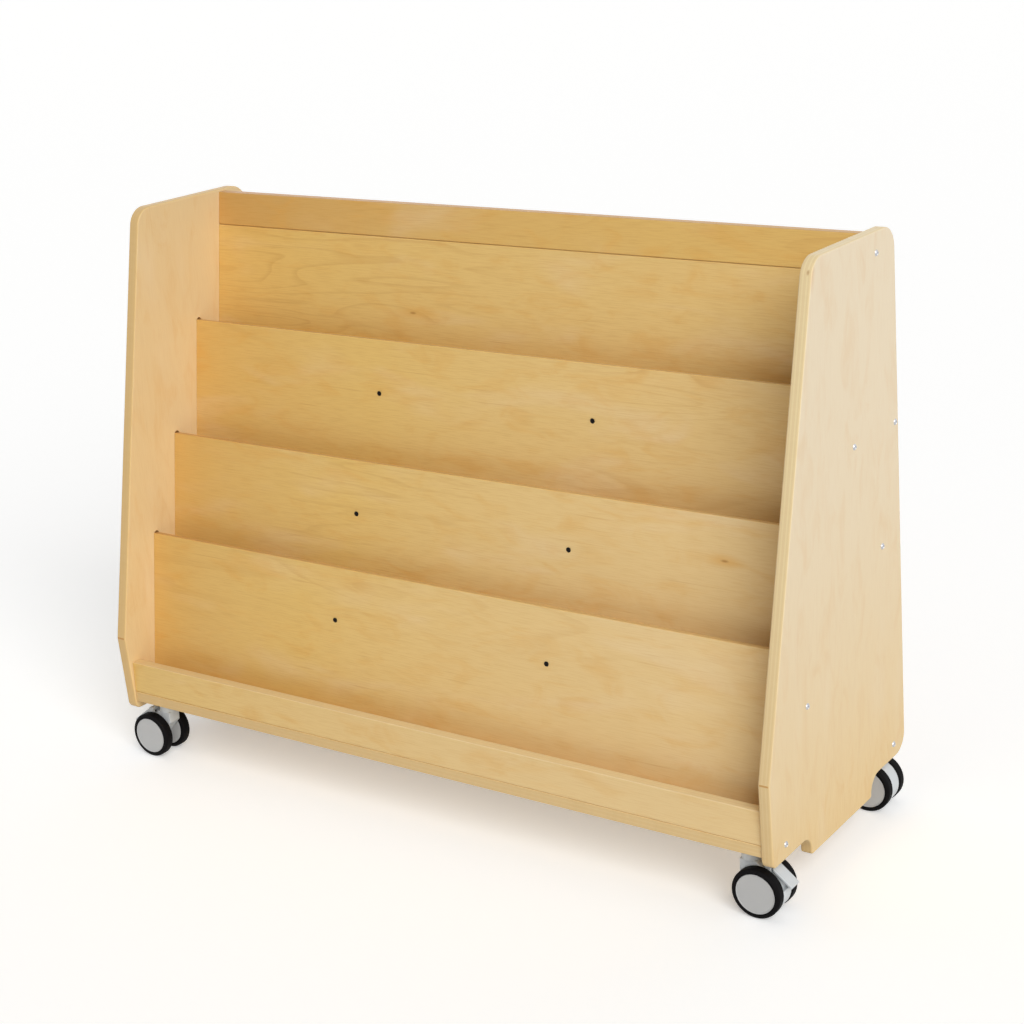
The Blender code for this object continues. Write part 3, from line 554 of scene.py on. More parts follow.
def lacquered_birch_plywood(colours):
    """Rotary-cut birch veneer under a clear satin lacquer, with the layers bare on cut edges.

    The eye sees pale cream and honey clouds, pale cream patches of painted sheen from the satin lacquer,
    long soft contour lines where the knife crossed the growth rings, golden mottle, fine streaks and fibres
    along the grain, a rare knot, and striped edges.
    """
    name = "lacquered_birch_plywood"
    material = start_material(name)
    if not material:
        return bpy.data.materials[name]
    tree = material.node_tree
    stored = {key: node(tree, "Attribute", {"attribute_name": key}).outputs
              for key in ("grain", "knot", "cut_depth", "tone", "drift")}
    grain, knot = (stored[key]["Vector"] for key in ("grain", "knot"))
    cut, board_tone, drift = (stored[key]["Fac"] for key in ("cut_depth", "tone", "drift"))
    # Painted shade: darkens and warms each board towards the start of its grain
    tone = maths(tree, "MULTIPLY_ADD", drift, drift, board_tone)

    # Each field's size along and across the grain in mm, its detail and its distortion. Fibres are
    # drawn about four times as wide as they are, because real ones are too fine to show.
    sizes = {"cloud": (540.0, 230.0, 1.0, 0.0), "mottle": (95.0, 36.0, 4.0, 1.0),
             "flame": (230.0, 70.0, 2.0, 0.5), "figure": (760.0, 85.0, 1.4, 0.4),
             "streak": (170.0, 3.6, 2.0, 0.0), "fibre": (36.0, 1.6, 4.0, 0.0)}
    fields = {}
    for key, (along, across, detail, distortion) in sizes.items():
        scale = (1000 / along, 1000 / across, 0.0)
        stretch = node(tree, "Mapping", None, {"Vector": grain, "Scale": scale})
        fields[key] = node(tree, "TexNoise", None, {
            "Vector": stretch.outputs[0], "Scale": 1.0, "Detail": detail, "Roughness": 0.55,
            "Distortion": distortion}).outputs["Fac"]

    # Growth rings: thin contour lines of the figure field that rise slowly and fall fast, shown most
    # where the clouds are dense and least on pale boards
    phase = maths(tree, "FRACT", maths(tree, "MULTIPLY", fields["figure"], RINGS))
    rise = ramp(tree, phase, (0.72, 0.95), smooth=True)
    fall = ramp(tree, phase, (0.95, 1.0), (1.0, 0.0), smooth=True)
    shown = ramp(tree, fields["cloud"], (0.46, 0.68), (0.02, 0.20), smooth=True)
    lines = maths(tree, "MULTIPLY", maths(tree, "MULTIPLY", rise, fall), shown)
    ring = maths(tree, "MULTIPLY", lines, ramp(tree, board_tone, (0.45, 0.75), (0.15, 1.0)))

    # One knot at most in a board: a brown eye in a golden halo, both longer along the grain
    eye = node(tree, "Mapping", None, {"Vector": knot, "Scale": [1000 / size for size in KNOT_SIZE]})
    reach = node(tree, "VectorMath", {"operation": "LENGTH"}, {0: eye.outputs[0]}).outputs["Value"]
    core = ramp(tree, reach, (0.1, 1.0), (0.62, 0.0), smooth=True)
    halo = ramp(tree, reach, (0.5, 4.5), (0.45, 0.0), smooth=True)

    # Share of each tint: where its field runs from low to high, and how much there is at most on warm
    # boards and on pale ones
    # The pale cream patches laid over the face are painted sheen: the satin lacquer's reflection put into the
    # colour
    shares = {"mottle": (0.46, 0.76, 0.38, 0.16), "flame": (0.50, 0.80, 0.20, 0.24),
              "fibre": (0.40, 0.72, 0.20, 0.05), "streak": (0.64, 0.78, 0.32, 0.06)}
    share = {}
    for key, (low, high, most, pale) in shares.items():
        field = ramp(tree, fields[key], (low, high), smooth=True)
        share[key] = maths(tree, "MULTIPLY", field, ramp(tree, tone, (0.45, 0.9), (pale, most)))
    dark = ramp(tree, tone, (1.0, 2.0))
    face = rgba(colours.cream)
    for factor, tint in (
            (tone, colours.amber), (dark, colours.deep), (share["mottle"], colours.gold),
            (share["flame"], colours.cream), (share["fibre"], colours.ring),
            (share["streak"], colours.ring), (ring, colours.ring), (halo, colours.gold)):
        face = blend(tree, factor, face, rgba(tint))

    # Cut edges: layers that run along and across by turns, with glue between them. They are drawn
    # 3 mm thick, about twice as thick as they are, because real ones are too fine to show.
    depth = node(tree, "SeparateXYZ", None, {"Vector": grain}).outputs["Z"]
    count = maths(tree, "DIVIDE", depth, LAYER)
    across = ramp(tree, maths(tree, "PINGPONG", count, 1.0), (0.35, 0.65), (0.0, 0.18), smooth=True)
    away = maths(tree, "PINGPONG", maths(tree, "ADD", count, 0.5), 0.5)
    glue = ramp(tree, away, (0.02, 0.16), (0.10, 0.0), smooth=True)
    warm = maths(tree, "MULTIPLY", tone, 0.85)
    edge = rgba(colours.ply_light)
    for factor, tint in (
            (across, colours.ply_dark), (share["fibre"], colours.ply_dark), (glue, colours.glue),
            (warm, colours.ply_dark), (dark, colours.deep)):
        edge = blend(tree, factor, edge, rgba(tint))
    base = blend(tree, ramp(tree, cut, (0.4 * VENEER, VENEER), smooth=True), face, edge)
    base = blend(tree, core, base, rgba(colours.knot))

    sheen = ramp(tree, fields["fibre"], (0.0, 1.0), (0.36, 0.50))
    relief = node(tree, "Bump", None, {"Strength": 0.22, "Distance": 0.00012, "Height": fields["fibre"]})
    shader = node(tree, "BsdfPrincipled", None, {
        "Base Color": base, "Roughness": sheen, "Normal": relief.outputs[0], "IOR": 1.5,
        "Specular IOR Level": 0.25, "Coat Weight": 0.10, "Coat Roughness": 0.24})
    node(tree, "OutputMaterial", None, {"Surface": shader.outputs[0]})
    return material


def moulded(name, tint, shade, roughness, grit, bump, spread, metallic=0.0, specular=0.5):
    """Moulded or plated surface: a slow change of tint and sheen over a fine grit.

    The tint changes to a share of its own light and the sheen between two roughnesses. The grit and
    the spread of the change are in mm, and the height of the grit is in metres.
    """
    material = start_material(name)
    if not material:
        return bpy.data.materials[name]
    tree = material.node_tree
    place = node(tree, "TexCoord").outputs["Object"]
    slow, fine = (node(tree, "TexNoise", None, {
        "Vector": place, "Scale": 1000 / size, "Detail": 2.0}).outputs["Fac"] for size in (spread, grit))
    dim = [channel * shade for channel in tint]
    relief = node(tree, "Bump", None, {"Strength": 0.3, "Distance": bump, "Height": fine})
    shader = node(tree, "BsdfPrincipled", None, {
        "Base Color": blend(tree, slow, rgba(tint), rgba(dim)),
        "Roughness": ramp(tree, slow, (0.3, 0.7), roughness), "Normal": relief.outputs[0],
        "Metallic": metallic, "Specular IOR Level": specular})
    node(tree, "OutputMaterial", None, {"Surface": shader.outputs[0]})
    return material


def zinc_plated_steel(colours):
    """Bright zinc on steel: cool, clouded and half sharp in its reflections."""
    return moulded("zinc_plated_steel", colours.zinc, 0.85, (0.24, 0.40), 0.4, 0.00001, 3.0, metallic=1.0)


def black_oxide_steel(colours):
    """Blackened steel: near black with a dull oily gleam."""
    return moulded("black_oxide_steel", colours.black_oxide, 0.6, (0.45, 0.58), 0.4, 0.00001, 3.0,
                   specular=0.15)


def satin_nylon(colours):
    """Moulded nylon: pale, cool and satin, with a fine spark-eroded grit."""
    return moulded("satin_nylon", colours.nylon, 0.93, (0.34, 0.44), 0.5, 0.00003, 14.0)


def satin_abs(colours):
    """Moulded ABS disc: flat mid grey with an even satin grit."""
    return moulded("satin_abs", colours.disc, 0.95, (0.38, 0.46), 0.6, 0.00003, 18.0)


def dull_rubber(colours):
    """Thermoplastic rubber: near black, dull, greyed a little by wear."""
    return moulded("dull_rubber", colours.rubber, 1.7, (0.55, 0.70), 0.7, 0.00005, 9.0, specular=0.06)


def side_outline(sides, low, high):
    """Side panel in (y, z): kneed front, rounded top, leaning rear and a skirt between two arches."""
    knee, rear = low[1], high[1]
    top, arch, skirt = high[2], sides.arch_height, low[2]
    front_wall = JOINT_AT["caster_front_right_swivel_turn"][1] + sides.arch_reach
    rear_wall = JOINT_AT["caster_rear_right_swivel_turn"][1] - sides.arch_reach
    spread = sides.rear_spread
    foot = rear_foot(rear, spread / (top - arch), sides.rear_foot_radius)
    corners = [
        (knee - sides.knee_radius * knee_overshoot(sides, top, arch), sides.knee_height),
        (knee + sides.toe_setback, arch), (front_wall, arch), (front_wall, skirt), (rear_wall, skirt),
        (rear_wall, arch), (foot, arch), (foot - spread, top), (knee + sides.top_setback, top)]
    radii = [sides.knee_radius, sides.toe_radius, sides.arch_radius, sides.skirt_radius,
             sides.skirt_radius, sides.arch_radius, sides.rear_foot_radius, sides.rear_top_radius,
             sides.front_top_radius]
    return fillet(corners, radii, 12)


def rear_foot(rear, slope, radius):
    """Corner of the rear edge and the arch edge, from the furthest point of the round between them.

    The corner lies behind that point by r (cot h - 1), where 2 h is the angle between the edges: a
    right angle less the lean of the rear edge, whose tangent is the slope.
    """
    half = (math.pi / 2 - math.atan(slope)) / 2
    return rear + radius * (1 / math.tan(half) - 1)


def knee_overshoot(sides, top, arch):
    """How far the knee's corner stands before its round, in radii.

    It is cos((u - l) / 2) / cos((u + l) / 2) - 1, where u and l are the leans of the edges above and
    below the knee.
    """
    upper = math.atan2(sides.top_setback, top - sides.knee_height)
    lower = math.atan2(sides.toe_setback, sides.knee_height - arch)
    return math.cos((upper - lower) / 2) / math.cos((upper + lower) / 2) - 1


def panel_section(boards, low, high):
    """Leaning panel in (y, z): level foot, top square to its face."""
    slope = math.tan(boards.lean)
    run = boards.panel_ply / math.cos(boards.lean)
    rear_top = high[2] - boards.panel_ply * math.sin(boards.lean)
    return [(low[1], low[2]), (low[1] + run, low[2]),
            (low[1] + run + (rear_top - low[2]) * slope, rear_top),
            (low[1] + (high[2] - low[2]) * slope, high[2])]


def leaning_section(boards, low, high):
    """Leaning rail, or the panel below it, in (y, z), level below and above."""
    shift = (high[2] - low[2]) * math.tan(boards.lean)
    return [(low[1], low[2]), (high[1] - shift, low[2]), (high[1], high[2]), (low[1] + shift, high[2])]


def shelf_section(boards, low, high, slope_rear):
    """Level shelf in (y, z): its front edge follows a panel's back, its rear edge the sides' slope."""
    rise = high[2] - low[2]
    return [(low[1], low[2]), (high[1], low[2]), (high[1] - rise * slope_rear, high[2]),
            (low[1] + rise * math.tan(boards.lean), high[2])]


def level_section(low, high):
    """Square-edged board in (y, z)."""
    return [(low[1], low[2]), (high[1], low[2]), (high[1], high[2]), (low[1], high[2])]


def groove_outline(boards, low, high):
    """Groove for a panel's end in (y, z): level at the foot and round above the top."""
    slope, gap = boards.lean, boards.groove_gap
    along = np.array([math.sin(slope), math.cos(slope)])
    normal = np.array([math.cos(slope), -math.sin(slope)])
    foot, _, _, top = np.array(panel_section(boards, low, high))
    radius = boards.panel_ply / 2 + gap
    centre = top + normal * boards.panel_ply / 2 + along * (boards.groove_end - radius)
    run = boards.panel_ply / math.cos(slope)
    feet = [foot - (gap, gap), foot + (run + gap, -gap)]
    return np.concatenate([feet, arc(centre, radius, -slope, math.pi - slope, 16)])


def screw_hole(screws, head, long, above):
    """Countersunk hole round a screw as (r, w), from above its head down past its tip."""
    head, shank = head + screws.hole_gap, screws.shank_radius + screws.hole_gap
    return [(0.0, above), (head, above), (head, 0.0), (shank, -screws.head_height),
            (shank, screws.tip - long), (0.0, -long - screws.hole_gap)]


def screw_rings(screws, head, long, dome):
    """Rings of a screw with a cross recess.

    On the head w = dome (1 - (r / head)^2) - depth a f. Here a is the larger of two ridges, one along
    each diagonal, that are 1 within a quarter of an arm's width from it and fall to 0 at three
    quarters, and f is 1.25 (1 - r / reach) held between 0 and 1. Below the head the screw's profile is
    spun.
    """
    a = np.linspace(0, 2 * np.pi, SCREW_STEPS, endpoint=False)
    r = np.linspace(0, head - screws.head_roll, 22)[:, None]
    x, y = r * np.cos(a), r * np.sin(a)
    ridges = [np.clip(1.5 - np.abs(away) / (screws.cross_width / 2), 0, 1) for away in (x + y, x - y)]
    fall = np.clip(1.25 * (1 - r / (head * screws.cross_reach)), 0, 1)
    top = dome * (1 - (r / head) ** 2) - screws.cross_depth * np.maximum(*ridges) * fall
    shank = screws.shank_radius
    lower = turned([(head - CREASE, -CREASE), (head, -screws.head_roll), (shank, -screws.head_height),
                    (shank, screws.tip - long), (0.0, -long)], SCREW_STEPS)
    return np.concatenate([np.stack([x, y, top], 2), lower])


def finish_board(context, name, section, ease, axes, face, thickness, tools=()):
    """One board of the carcass: its section in (y, z) run across the width, with holes cut by tools."""
    low, high = box(name)
    rounds = fillet(section, [ease] * len(section), 5)
    mesh = skin(f"{name}_surface", slab(rounds, low[0], high[0], ease / 2)[..., ACROSS_X])
    if tools:
        mesh = carve(mesh, "DIFFERENCE", tools)
    lay_grain(mesh, name, axes, face, thickness)
    piece(f"{name}_surface", mesh, lacquered_birch_plywood(context.scene.shelf_colours), name)


def panel_face(boards, panel, z):
    """Front face's y of a display panel at a height."""
    low = box(panel)[0]
    return low[1] + (z - low[2]) * math.tan(boards.lean)


def panel_screw_places(context):
    """Where each panel screw enters its panel's face."""
    spacing = context.scene.shelf_screws.panel_spacing
    places = {}
    for panel, shelf in BACKED_PANELS.items():
        z = sum(corner[2] for corner in box(shelf)) / 2
        y = panel_face(context.scene.shelf_boards, panel, z)
        places[panel] = [(sign * spacing / 2, y, z) for sign in (-1, 1)]
    return places


class SHELF_OT_sides(bpy.types.Operator):
    """Side panels with eased edges, grooves for the display panels and countersunk screw holes"""

    bl_idname = "shelf.sides"
    bl_label = "Side panels"

    def execute(self, context):
        scene = context.scene
        boards, sides, screws = scene.shelf_boards, scene.shelf_sides, scene.shelf_screws
        for name, sign in SIDES.items():
            low, high = box(name)
            outline = side_outline(sides, low, high)
            mesh = skin(name, slab(outline, low[0], high[0], boards.side_ease)[..., ACROSS_X])
            outer, inner = (high[0], low[0]) if sign > 0 else (low[0], high[0])
            reach = boards.groove + boards.groove_gap
            ends = sorted((inner - sign * boards.groove, inner + sign * reach))
            tools = []
            for panel in PANELS:
                groove = slab(groove_outline(boards, *box(panel)), *ends, 0.0, 1)[1:-1]
                tools.append(skin("groove", groove[..., ACROSS_X]))
            for screw in (key for key in BODY_OF if key.startswith(f"screw_{name}")):
                first, last = box(screw)
                hole = screw_hole(screws, (last[2] - first[2]) / 2, last[0] - first[0], boards.side_ease)
                at = (outer, *((first + last) / 2)[1:])
                tools.append(skin("hole", aim(turned(hole, HOLE_STEPS), at, (sign, 0, 0))))
            mesh = carve(mesh, "DIFFERENCE", tools)
            axes = [(0, 0, 1), (0, 1, 0), (-sign, 0, 0)]
            lay_grain(mesh, name, axes, -abs(outer), abs(outer - inner))
            scorch_knee(mesh, sides, low[1], boards.side_ease)
            piece(f"{name}_surface", mesh, lacquered_birch_plywood(scene.shelf_colours), name)
        return {"FINISHED"}


class SHELF_OT_display(bpy.types.Operator):
    """Front lip, leaning display panels with their screw holes, and top rail"""

    bl_idname = "shelf.display"
    bl_label = "Display panels, lip and rail"

    def execute(self, context):
        boards, screws = context.scene.shelf_boards, context.scene.shelf_screws
        normal = np.array([0.0, math.cos(boards.lean), -math.sin(boards.lean)])
        leaning = [(1, 0, 0), (0, math.sin(boards.lean), math.cos(boards.lean)), normal]
        places = panel_screw_places(context)
        radius, depth = screws.panel_hole, screws.panel_hole_depth
        hole = turned([(0.0, CLEAR), (radius, CLEAR), (radius, -depth), (0.0, -depth)], HOLE_STEPS)
        for name in PANELS:
            low, high = box(name)
            tools = [skin("hole", aim(hole, place, (0, -1, 0))) for place in places.get(name, [])]
            section = (leaning_section if name == PANELS[-1] else panel_section)(boards, low, high)
            finish_board(context, name, section, boards.board_ease, leaning, normal @ low,
                         boards.panel_ply, tools)
        low, high = box("top_rail")
        thickness = (high[1] - low[1]) * math.cos(boards.lean) - (high[2] - low[2]) * math.sin(boards.lean)
        finish_board(context, "top_rail", leaning_section(boards, low, high), boards.rail_ease, leaning,
                     normal @ low, thickness)
        low, high = box("front_lip")
        upright = [(1, 0, 0), (0, 0, 1), (0, 1, 0)]
        finish_board(context, "front_lip", level_section(low, high), boards.rail_ease, upright, low[1],
                     high[1] - low[1])
        return {"FINISHED"}


class SHELF_OT_shelves(bpy.types.Operator):
    """Base board, slot ledge and the two rear shelves"""

    bl_idname = "shelf.shelves"
    bl_label = "Base and shelves"

    def execute(self, context):
        boards = context.scene.shelf_boards
        level_axes = [(1, 0, 0), (0, 1, 0), (0, 0, -1)]
        rear = {"base_board": None, "slot_ledge": 0.0, "middle_shelf": boards.rear_slope,
                "upper_shelf": boards.rear_slope}
        for name, slope in rear.items():
            low, high = box(name)
            section = level_section(low, high) if slope is None else shelf_section(boards, low, high, slope)
            finish_board(context, name, section, boards.board_ease, level_axes, -high[2], high[2] - low[2])
        return {"FINISHED"}


class SHELF_OT_side_screws(bpy.types.Operator):
    """Zinc-plated screws through the side panels, with domed heads over their countersunk holes"""

    bl_idname = "shelf.side_screws"
    bl_label = "Side screws"

    def execute(self, context):
        screws = context.scene.shelf_screws
        material = zinc_plated_steel(context.scene.shelf_colours)
        for name in (key for key in BODY_OF if key.startswith("screw_")):
            low, high = box(name)
            middle = (low + high) / 2
            sign = 1 if middle[0] > 0 else -1
            head = (high[2] - low[2]) / 2 + screws.side_brim
            rings = screw_rings(screws, head, high[0] - low[0], screws.side_dome)
            outer = high[0] if sign > 0 else low[0]
            mesh = skin(name, aim(rings, (outer, middle[1], middle[2]), (sign, 0, 0)))
            piece(f"{name}_surface", mesh, material, name)
        return {"FINISHED"}


class SHELF_OT_panel_screws(bpy.types.Operator):
    """Black screws through the display panels into the boards behind them"""

    bl_idname = "shelf.panel_screws"
    bl_label = "Panel screws"

    def execute(self, context):
        screws = context.scene.shelf_screws
        material = black_oxide_steel(context.scene.shelf_colours)
        rings = screw_rings(screws, screws.panel_head, screws.panel_length, screws.panel_dome)
        for panel, places in panel_screw_places(context).items():
            for end, place in zip(("left", "right"), places):
                front = np.array(place) - (0, screws.panel_proud, 0)
                mesh = skin("panel_screw", aim(rings, front, (0, -1, 0)))
                piece(f"{panel}_screw_{end}", mesh, material, body=BODY_OF[panel])
        return {"FINISHED"}


class SHELF_OT_wheels(bpy.types.Operator):
    """Hub discs and tyres of the twin wheels"""

    bl_idname = "shelf.wheels"
    bl_label = "Wheels"

    def execute(self, context):
        casters, colours = context.scene.shelf_casters, context.scene.shelf_colours
        for caster in CASTERS:
            swivel = JOINT_AT[f"{caster}_swivel_turn"]
            for number in (1, 2):
                hub, tyre = f"{caster}_hub_{number}", f"{caster}_tyre_{number}"
                low, high = box(hub)
                middle = (low + high) / 2
                outward = (0, math.copysign(1, middle[1] - swivel[1]), 0)
                seat = (high[2] - low[2]) / 2 - casters.tyre_lap
                rings = turned(self.hub_profile(casters, seat, (high[1] - low[1]) / 2), WHEEL_STEPS)
                piece(f"{hub}_surface", skin(hub, aim(rings, middle, outward)), satin_abs(colours), hub)
                section = self.tyre_section(casters, seat, *box(tyre))
                rings = aim(turned(section, WHEEL_STEPS), middle, outward)
                piece(f"{tyre}_surface", skin(tyre, rings, closed=True), dull_rubber(colours), tyre)
        return {"FINISHED"}

    def hub_profile(self, casters, radius, half):
        """Hub as (r, w): a flat disc sunk inside a round bead, the rim, and a short bore at the back."""
        bead = casters.rim_width / 2
        floor, back = half - casters.dish, BREAK - half
        bore, end, mouth = casters.hub_bore, casters.hub_bore_depth - half, casters.hub_mouth
        disc = [(0.0, floor), (radius - 3 * bead, floor), (radius - 2.4 * bead, floor)]
        edge = arc((radius - bead, half - bead), bead, math.pi, 0.0, 14).tolist()
        return [*disc, (radius - 2 * bead, floor - CREASE), *edge, (radius, back), (radius - BREAK, -half),
                (mouth, -half), (mouth - casters.hub_lead, back), (bore, back), (bore, end), (0.0, end)]

    def tyre_section(self, casters, seat, low, high):
        """Tyre's section as (r, w): a bar with round shoulders outside and small rounds inside."""
        radius, half = (high[2] - low[2]) / 2, (high[1] - low[1]) / 2
        bead, shoulder = casters.tyre_bead, casters.tyre_shoulder
        seat += GAP
        corners = [(seat, -half), (radius, -half), (radius, half), (seat, half)]
        return fillet(corners, [bead, shoulder, shoulder, bead], 8)


class SHELF_OT_housings(bpy.types.Operator):
    """Caster housings with their swivel heads, stems and axles"""

    bl_idname = "shelf.housings"
    bl_label = "Caster housings"

    def execute(self, context):
        casters, colours = context.scene.shelf_casters, context.scene.shelf_colours
        for caster in CASTERS:
            swivel, axle = JOINT_AT[f"{caster}_swivel_turn"], JOINT_AT[f"{caster}_wheel_1_spin"]
            pivot = JOINT_AT.get(f"{caster}_pedal_press")
            name = f"{caster}_housing"
            top = box(name)[1][2]
            half = self.body_half(name, casters, swivel)
            wheel = box(f"{caster}_tyre_1")
            radius = (wheel[1][2] - wheel[0][2]) / 2
            trail = abs(axle[0] - swivel[0])
            head = 2 * radius + casters.head_clear
            shape = self.body_outline(casters, trail, radius, head, pivot is not None)
            body = skin(name, slab(shape, -half, half, casters.moulded_edge, 4)[..., ACROSS_Y])
            joins = [skin("head", turned(self.head_profile(casters, head, top), HEAD_STEPS))]
            if pivot is not None:
                hinge = np.array([abs(pivot[0] - swivel[0]), pivot[2]])
                joins += self.ears(casters, trail, radius, hinge, half)
            mesh = carve(body, "UNION", joins)
            self.stand(mesh, swivel, axle)
            piece(f"{name}_surface", mesh, satin_nylon(colours), name)
            self.metal(caster, casters, swivel, top, zinc_plated_steel(colours))
        return {"FINISHED"}

    def body_half(self, name, casters, swivel):
        """Half width of the housing's body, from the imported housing's points away from the head."""
        points = get_points(frame["nodes"][name].data).astype(float)
        away = np.abs(points[:, 0] - swivel[0]) > casters.head_radius + MERGE
        return np.abs(points[away, 1] - swivel[1]).max()

    def body_outline(self, casters, trail, radius, head, braked):
        """Housing in (x, z): fender over the trailing side, boss round the axle, neck up to the head."""
        axle = (trail, radius)
        fender, notch = radius - casters.fender_drop, radius - casters.notch_drop
        if braked:
            rim = [arc(axle, fender, *BRAKED_ARC, 12), arc(axle, notch, *NOTCH_ARC, 20)]
        else:
            rim = [arc(axle, fender, *FENDER_ARC, 32)]
        front, lap = casters.neck_half, head + casters.head_clear
        neck = [(front, lap), (-front, lap), (-front, head - casters.neck_drop)]
        return np.concatenate([*rim, neck, arc(axle, casters.boss_radius, *BOSS_ARC, 12)])

    def head_profile(self, casters, low, high):
        """Swivel head as (r, w): a short drum with eased rims and a shallow race line."""
        r, ease = casters.head_radius, casters.moulded_edge
        upper = arc((r - ease, high - ease), ease, math.pi / 2, 0.0, 5).tolist()
        lower = arc((r - ease, low + ease), ease, 0.0, -math.pi / 2, 5).tolist()
        line, floor = (low + high) / 2 + casters.race_rise, r - CHAMFER
        race = [(r, line + BREAK), (floor, line + BREAK / 2), (floor, line - BREAK / 2), (r, line - BREAK)]
        return [(0.0, high), *upper, *race, *lower, (0.0, low)]

    def ears(self, casters, trail, radius, hinge, half):
        """Ears that carry the pedal's hinge, one on each side, as slabs in (x, z)."""
        root = arc((trail, radius), casters.ear_root, *EAR_ARC, 6)
        shape = np.concatenate([root, arc(hinge, casters.ear_radius, 0.0, math.pi, 16)])
        outer = half - casters.ear_inset
        spans = ((-outer, -outer + casters.ear_width), (outer - casters.ear_width, outer))
        return [skin("ear", slab(shape, *span, BREAK, 3)[..., ACROSS_Y]) for span in spans]

    def stand(self, mesh, swivel, axle):
        """Turns a caster's own mesh to its heading and moves it to its swivel axis."""
        heading = math.copysign(1, axle[0] - swivel[0])
        set_points(mesh, get_points(mesh) * (heading, heading, 1) + (swivel[0], swivel[1], 0))

    def metal(self, caster, casters, swivel, head_top, zinc):
        """Stem with its flange, the axle and any hinge pin, as turned bars."""
        low, high = box(f"{caster}_stem")
        stem, pin, flange = casters.stem_radius, casters.pin_radius, (high[0] - low[0]) / 2
        over, under = box("base_board")[0][2] - GAP, head_top + GAP
        profile = [
            (0.0, high[2]), (pin, high[2]), (stem, high[2] + pin - stem), (stem, over),
            (flange - CHAMFER, over), (flange, over - CHAMFER), (flange, under + CHAMFER),
            (flange - CHAMFER, under), (pin, under), (pin, low[2]), (0.0, low[2])]
        mesh = skin("stem", turned(profile, STEM_STEPS) + (swivel[0], swivel[1], 0))
        piece(f"{caster}_stem_surface", mesh, zinc, f"{caster}_stem")
        for name in (f"{caster}_axle", f"{caster}_pedal_pin"):
            if name in BODY_OF:
                self.pin(name, zinc)

    def pin(self, name, material):
        """Round bar across a caster with eased ends, in the place of its node."""
        low, high = box(name)
        r, half, ease = (high[2] - low[2]) / 2, (high[1] - low[1]) / 2, 0.0004
        bar = [(0.0, half), (r - ease, half), (r, half - ease), (r, ease - half), (r - ease, -half),
               (0.0, -half)]
        mesh = skin(name, aim(turned(bar, HOLE_STEPS), (low + high) / 2, (0, 1, 0)))
        piece(f"{name}_surface", mesh, material, name)


class SHELF_OT_pedals(bpy.types.Operator):
    """Brake pedals of the front casters"""

    bl_idname = "shelf.pedals"
    bl_label = "Brake pedals"

    def execute(self, context):
        casters = context.scene.shelf_casters
        for caster in CASTERS:
            name = f"{caster}_brake_pedal"
            if name not in BODY_OF:
                continue
            pivot, swivel = JOINT_AT[f"{caster}_pedal_press"], JOINT_AT[f"{caster}_swivel_turn"]
            low, high = box(name)
            wide, narrow = (high[1] - low[1]) / 2, casters.lug_width / 2
            plate = skin(name, slab(self.plate_outline(casters), -wide, wide, casters.plate_ease, 4))
            lug = skin("lug", slab(self.lug_outline(casters), -narrow, narrow, casters.lug_ease, 2))
            mesh = carve(plate, "UNION", [lug])
            heading = math.copysign(1, pivot[0] - swivel[0])
            u, v, w = get_points(mesh).T
            c, s = math.cos(casters.pedal_slope), math.sin(casters.pedal_slope)
            set_points(mesh, np.stack([heading * (c * u + s * v), -heading * w, c * v - s * u], 1) + pivot)
            piece(f"{name}_surface", mesh, satin_nylon(context.scene.shelf_colours), name)
        return {"FINISHED"}

    def plate_levels(self, casters):
        """Foot plate's underside and top, up from the hinge."""
        top = casters.lug_radius - casters.pedal_drop
        return top - casters.pedal_plate, top

    def plate_outline(self, casters):
        """Foot plate in (u, v): along the plate from its hinge, and up from it."""
        low, top = self.plate_levels(casters)
        root, tip = casters.pedal_root, casters.pedal_length
        corners = [(root, low), (tip, low), (tip, top), (root, top)]
        return fillet(corners, [BREAK, casters.pedal_chin, casters.pedal_nose, BREAK], 6)

    def lug_outline(self, casters):
        """Lug in (u, v): round about the hinge and run in under the plate."""
        low, top = self.plate_levels(casters)
        end, tuck = casters.pedal_root + casters.pedal_lap, casters.pedal_tuck
        tail = [(end, low + tuck), (end, top - tuck)]
        return np.concatenate([tail, arc((0, 0), casters.lug_radius, math.pi / 4, 7 * math.pi / 4, 20)])


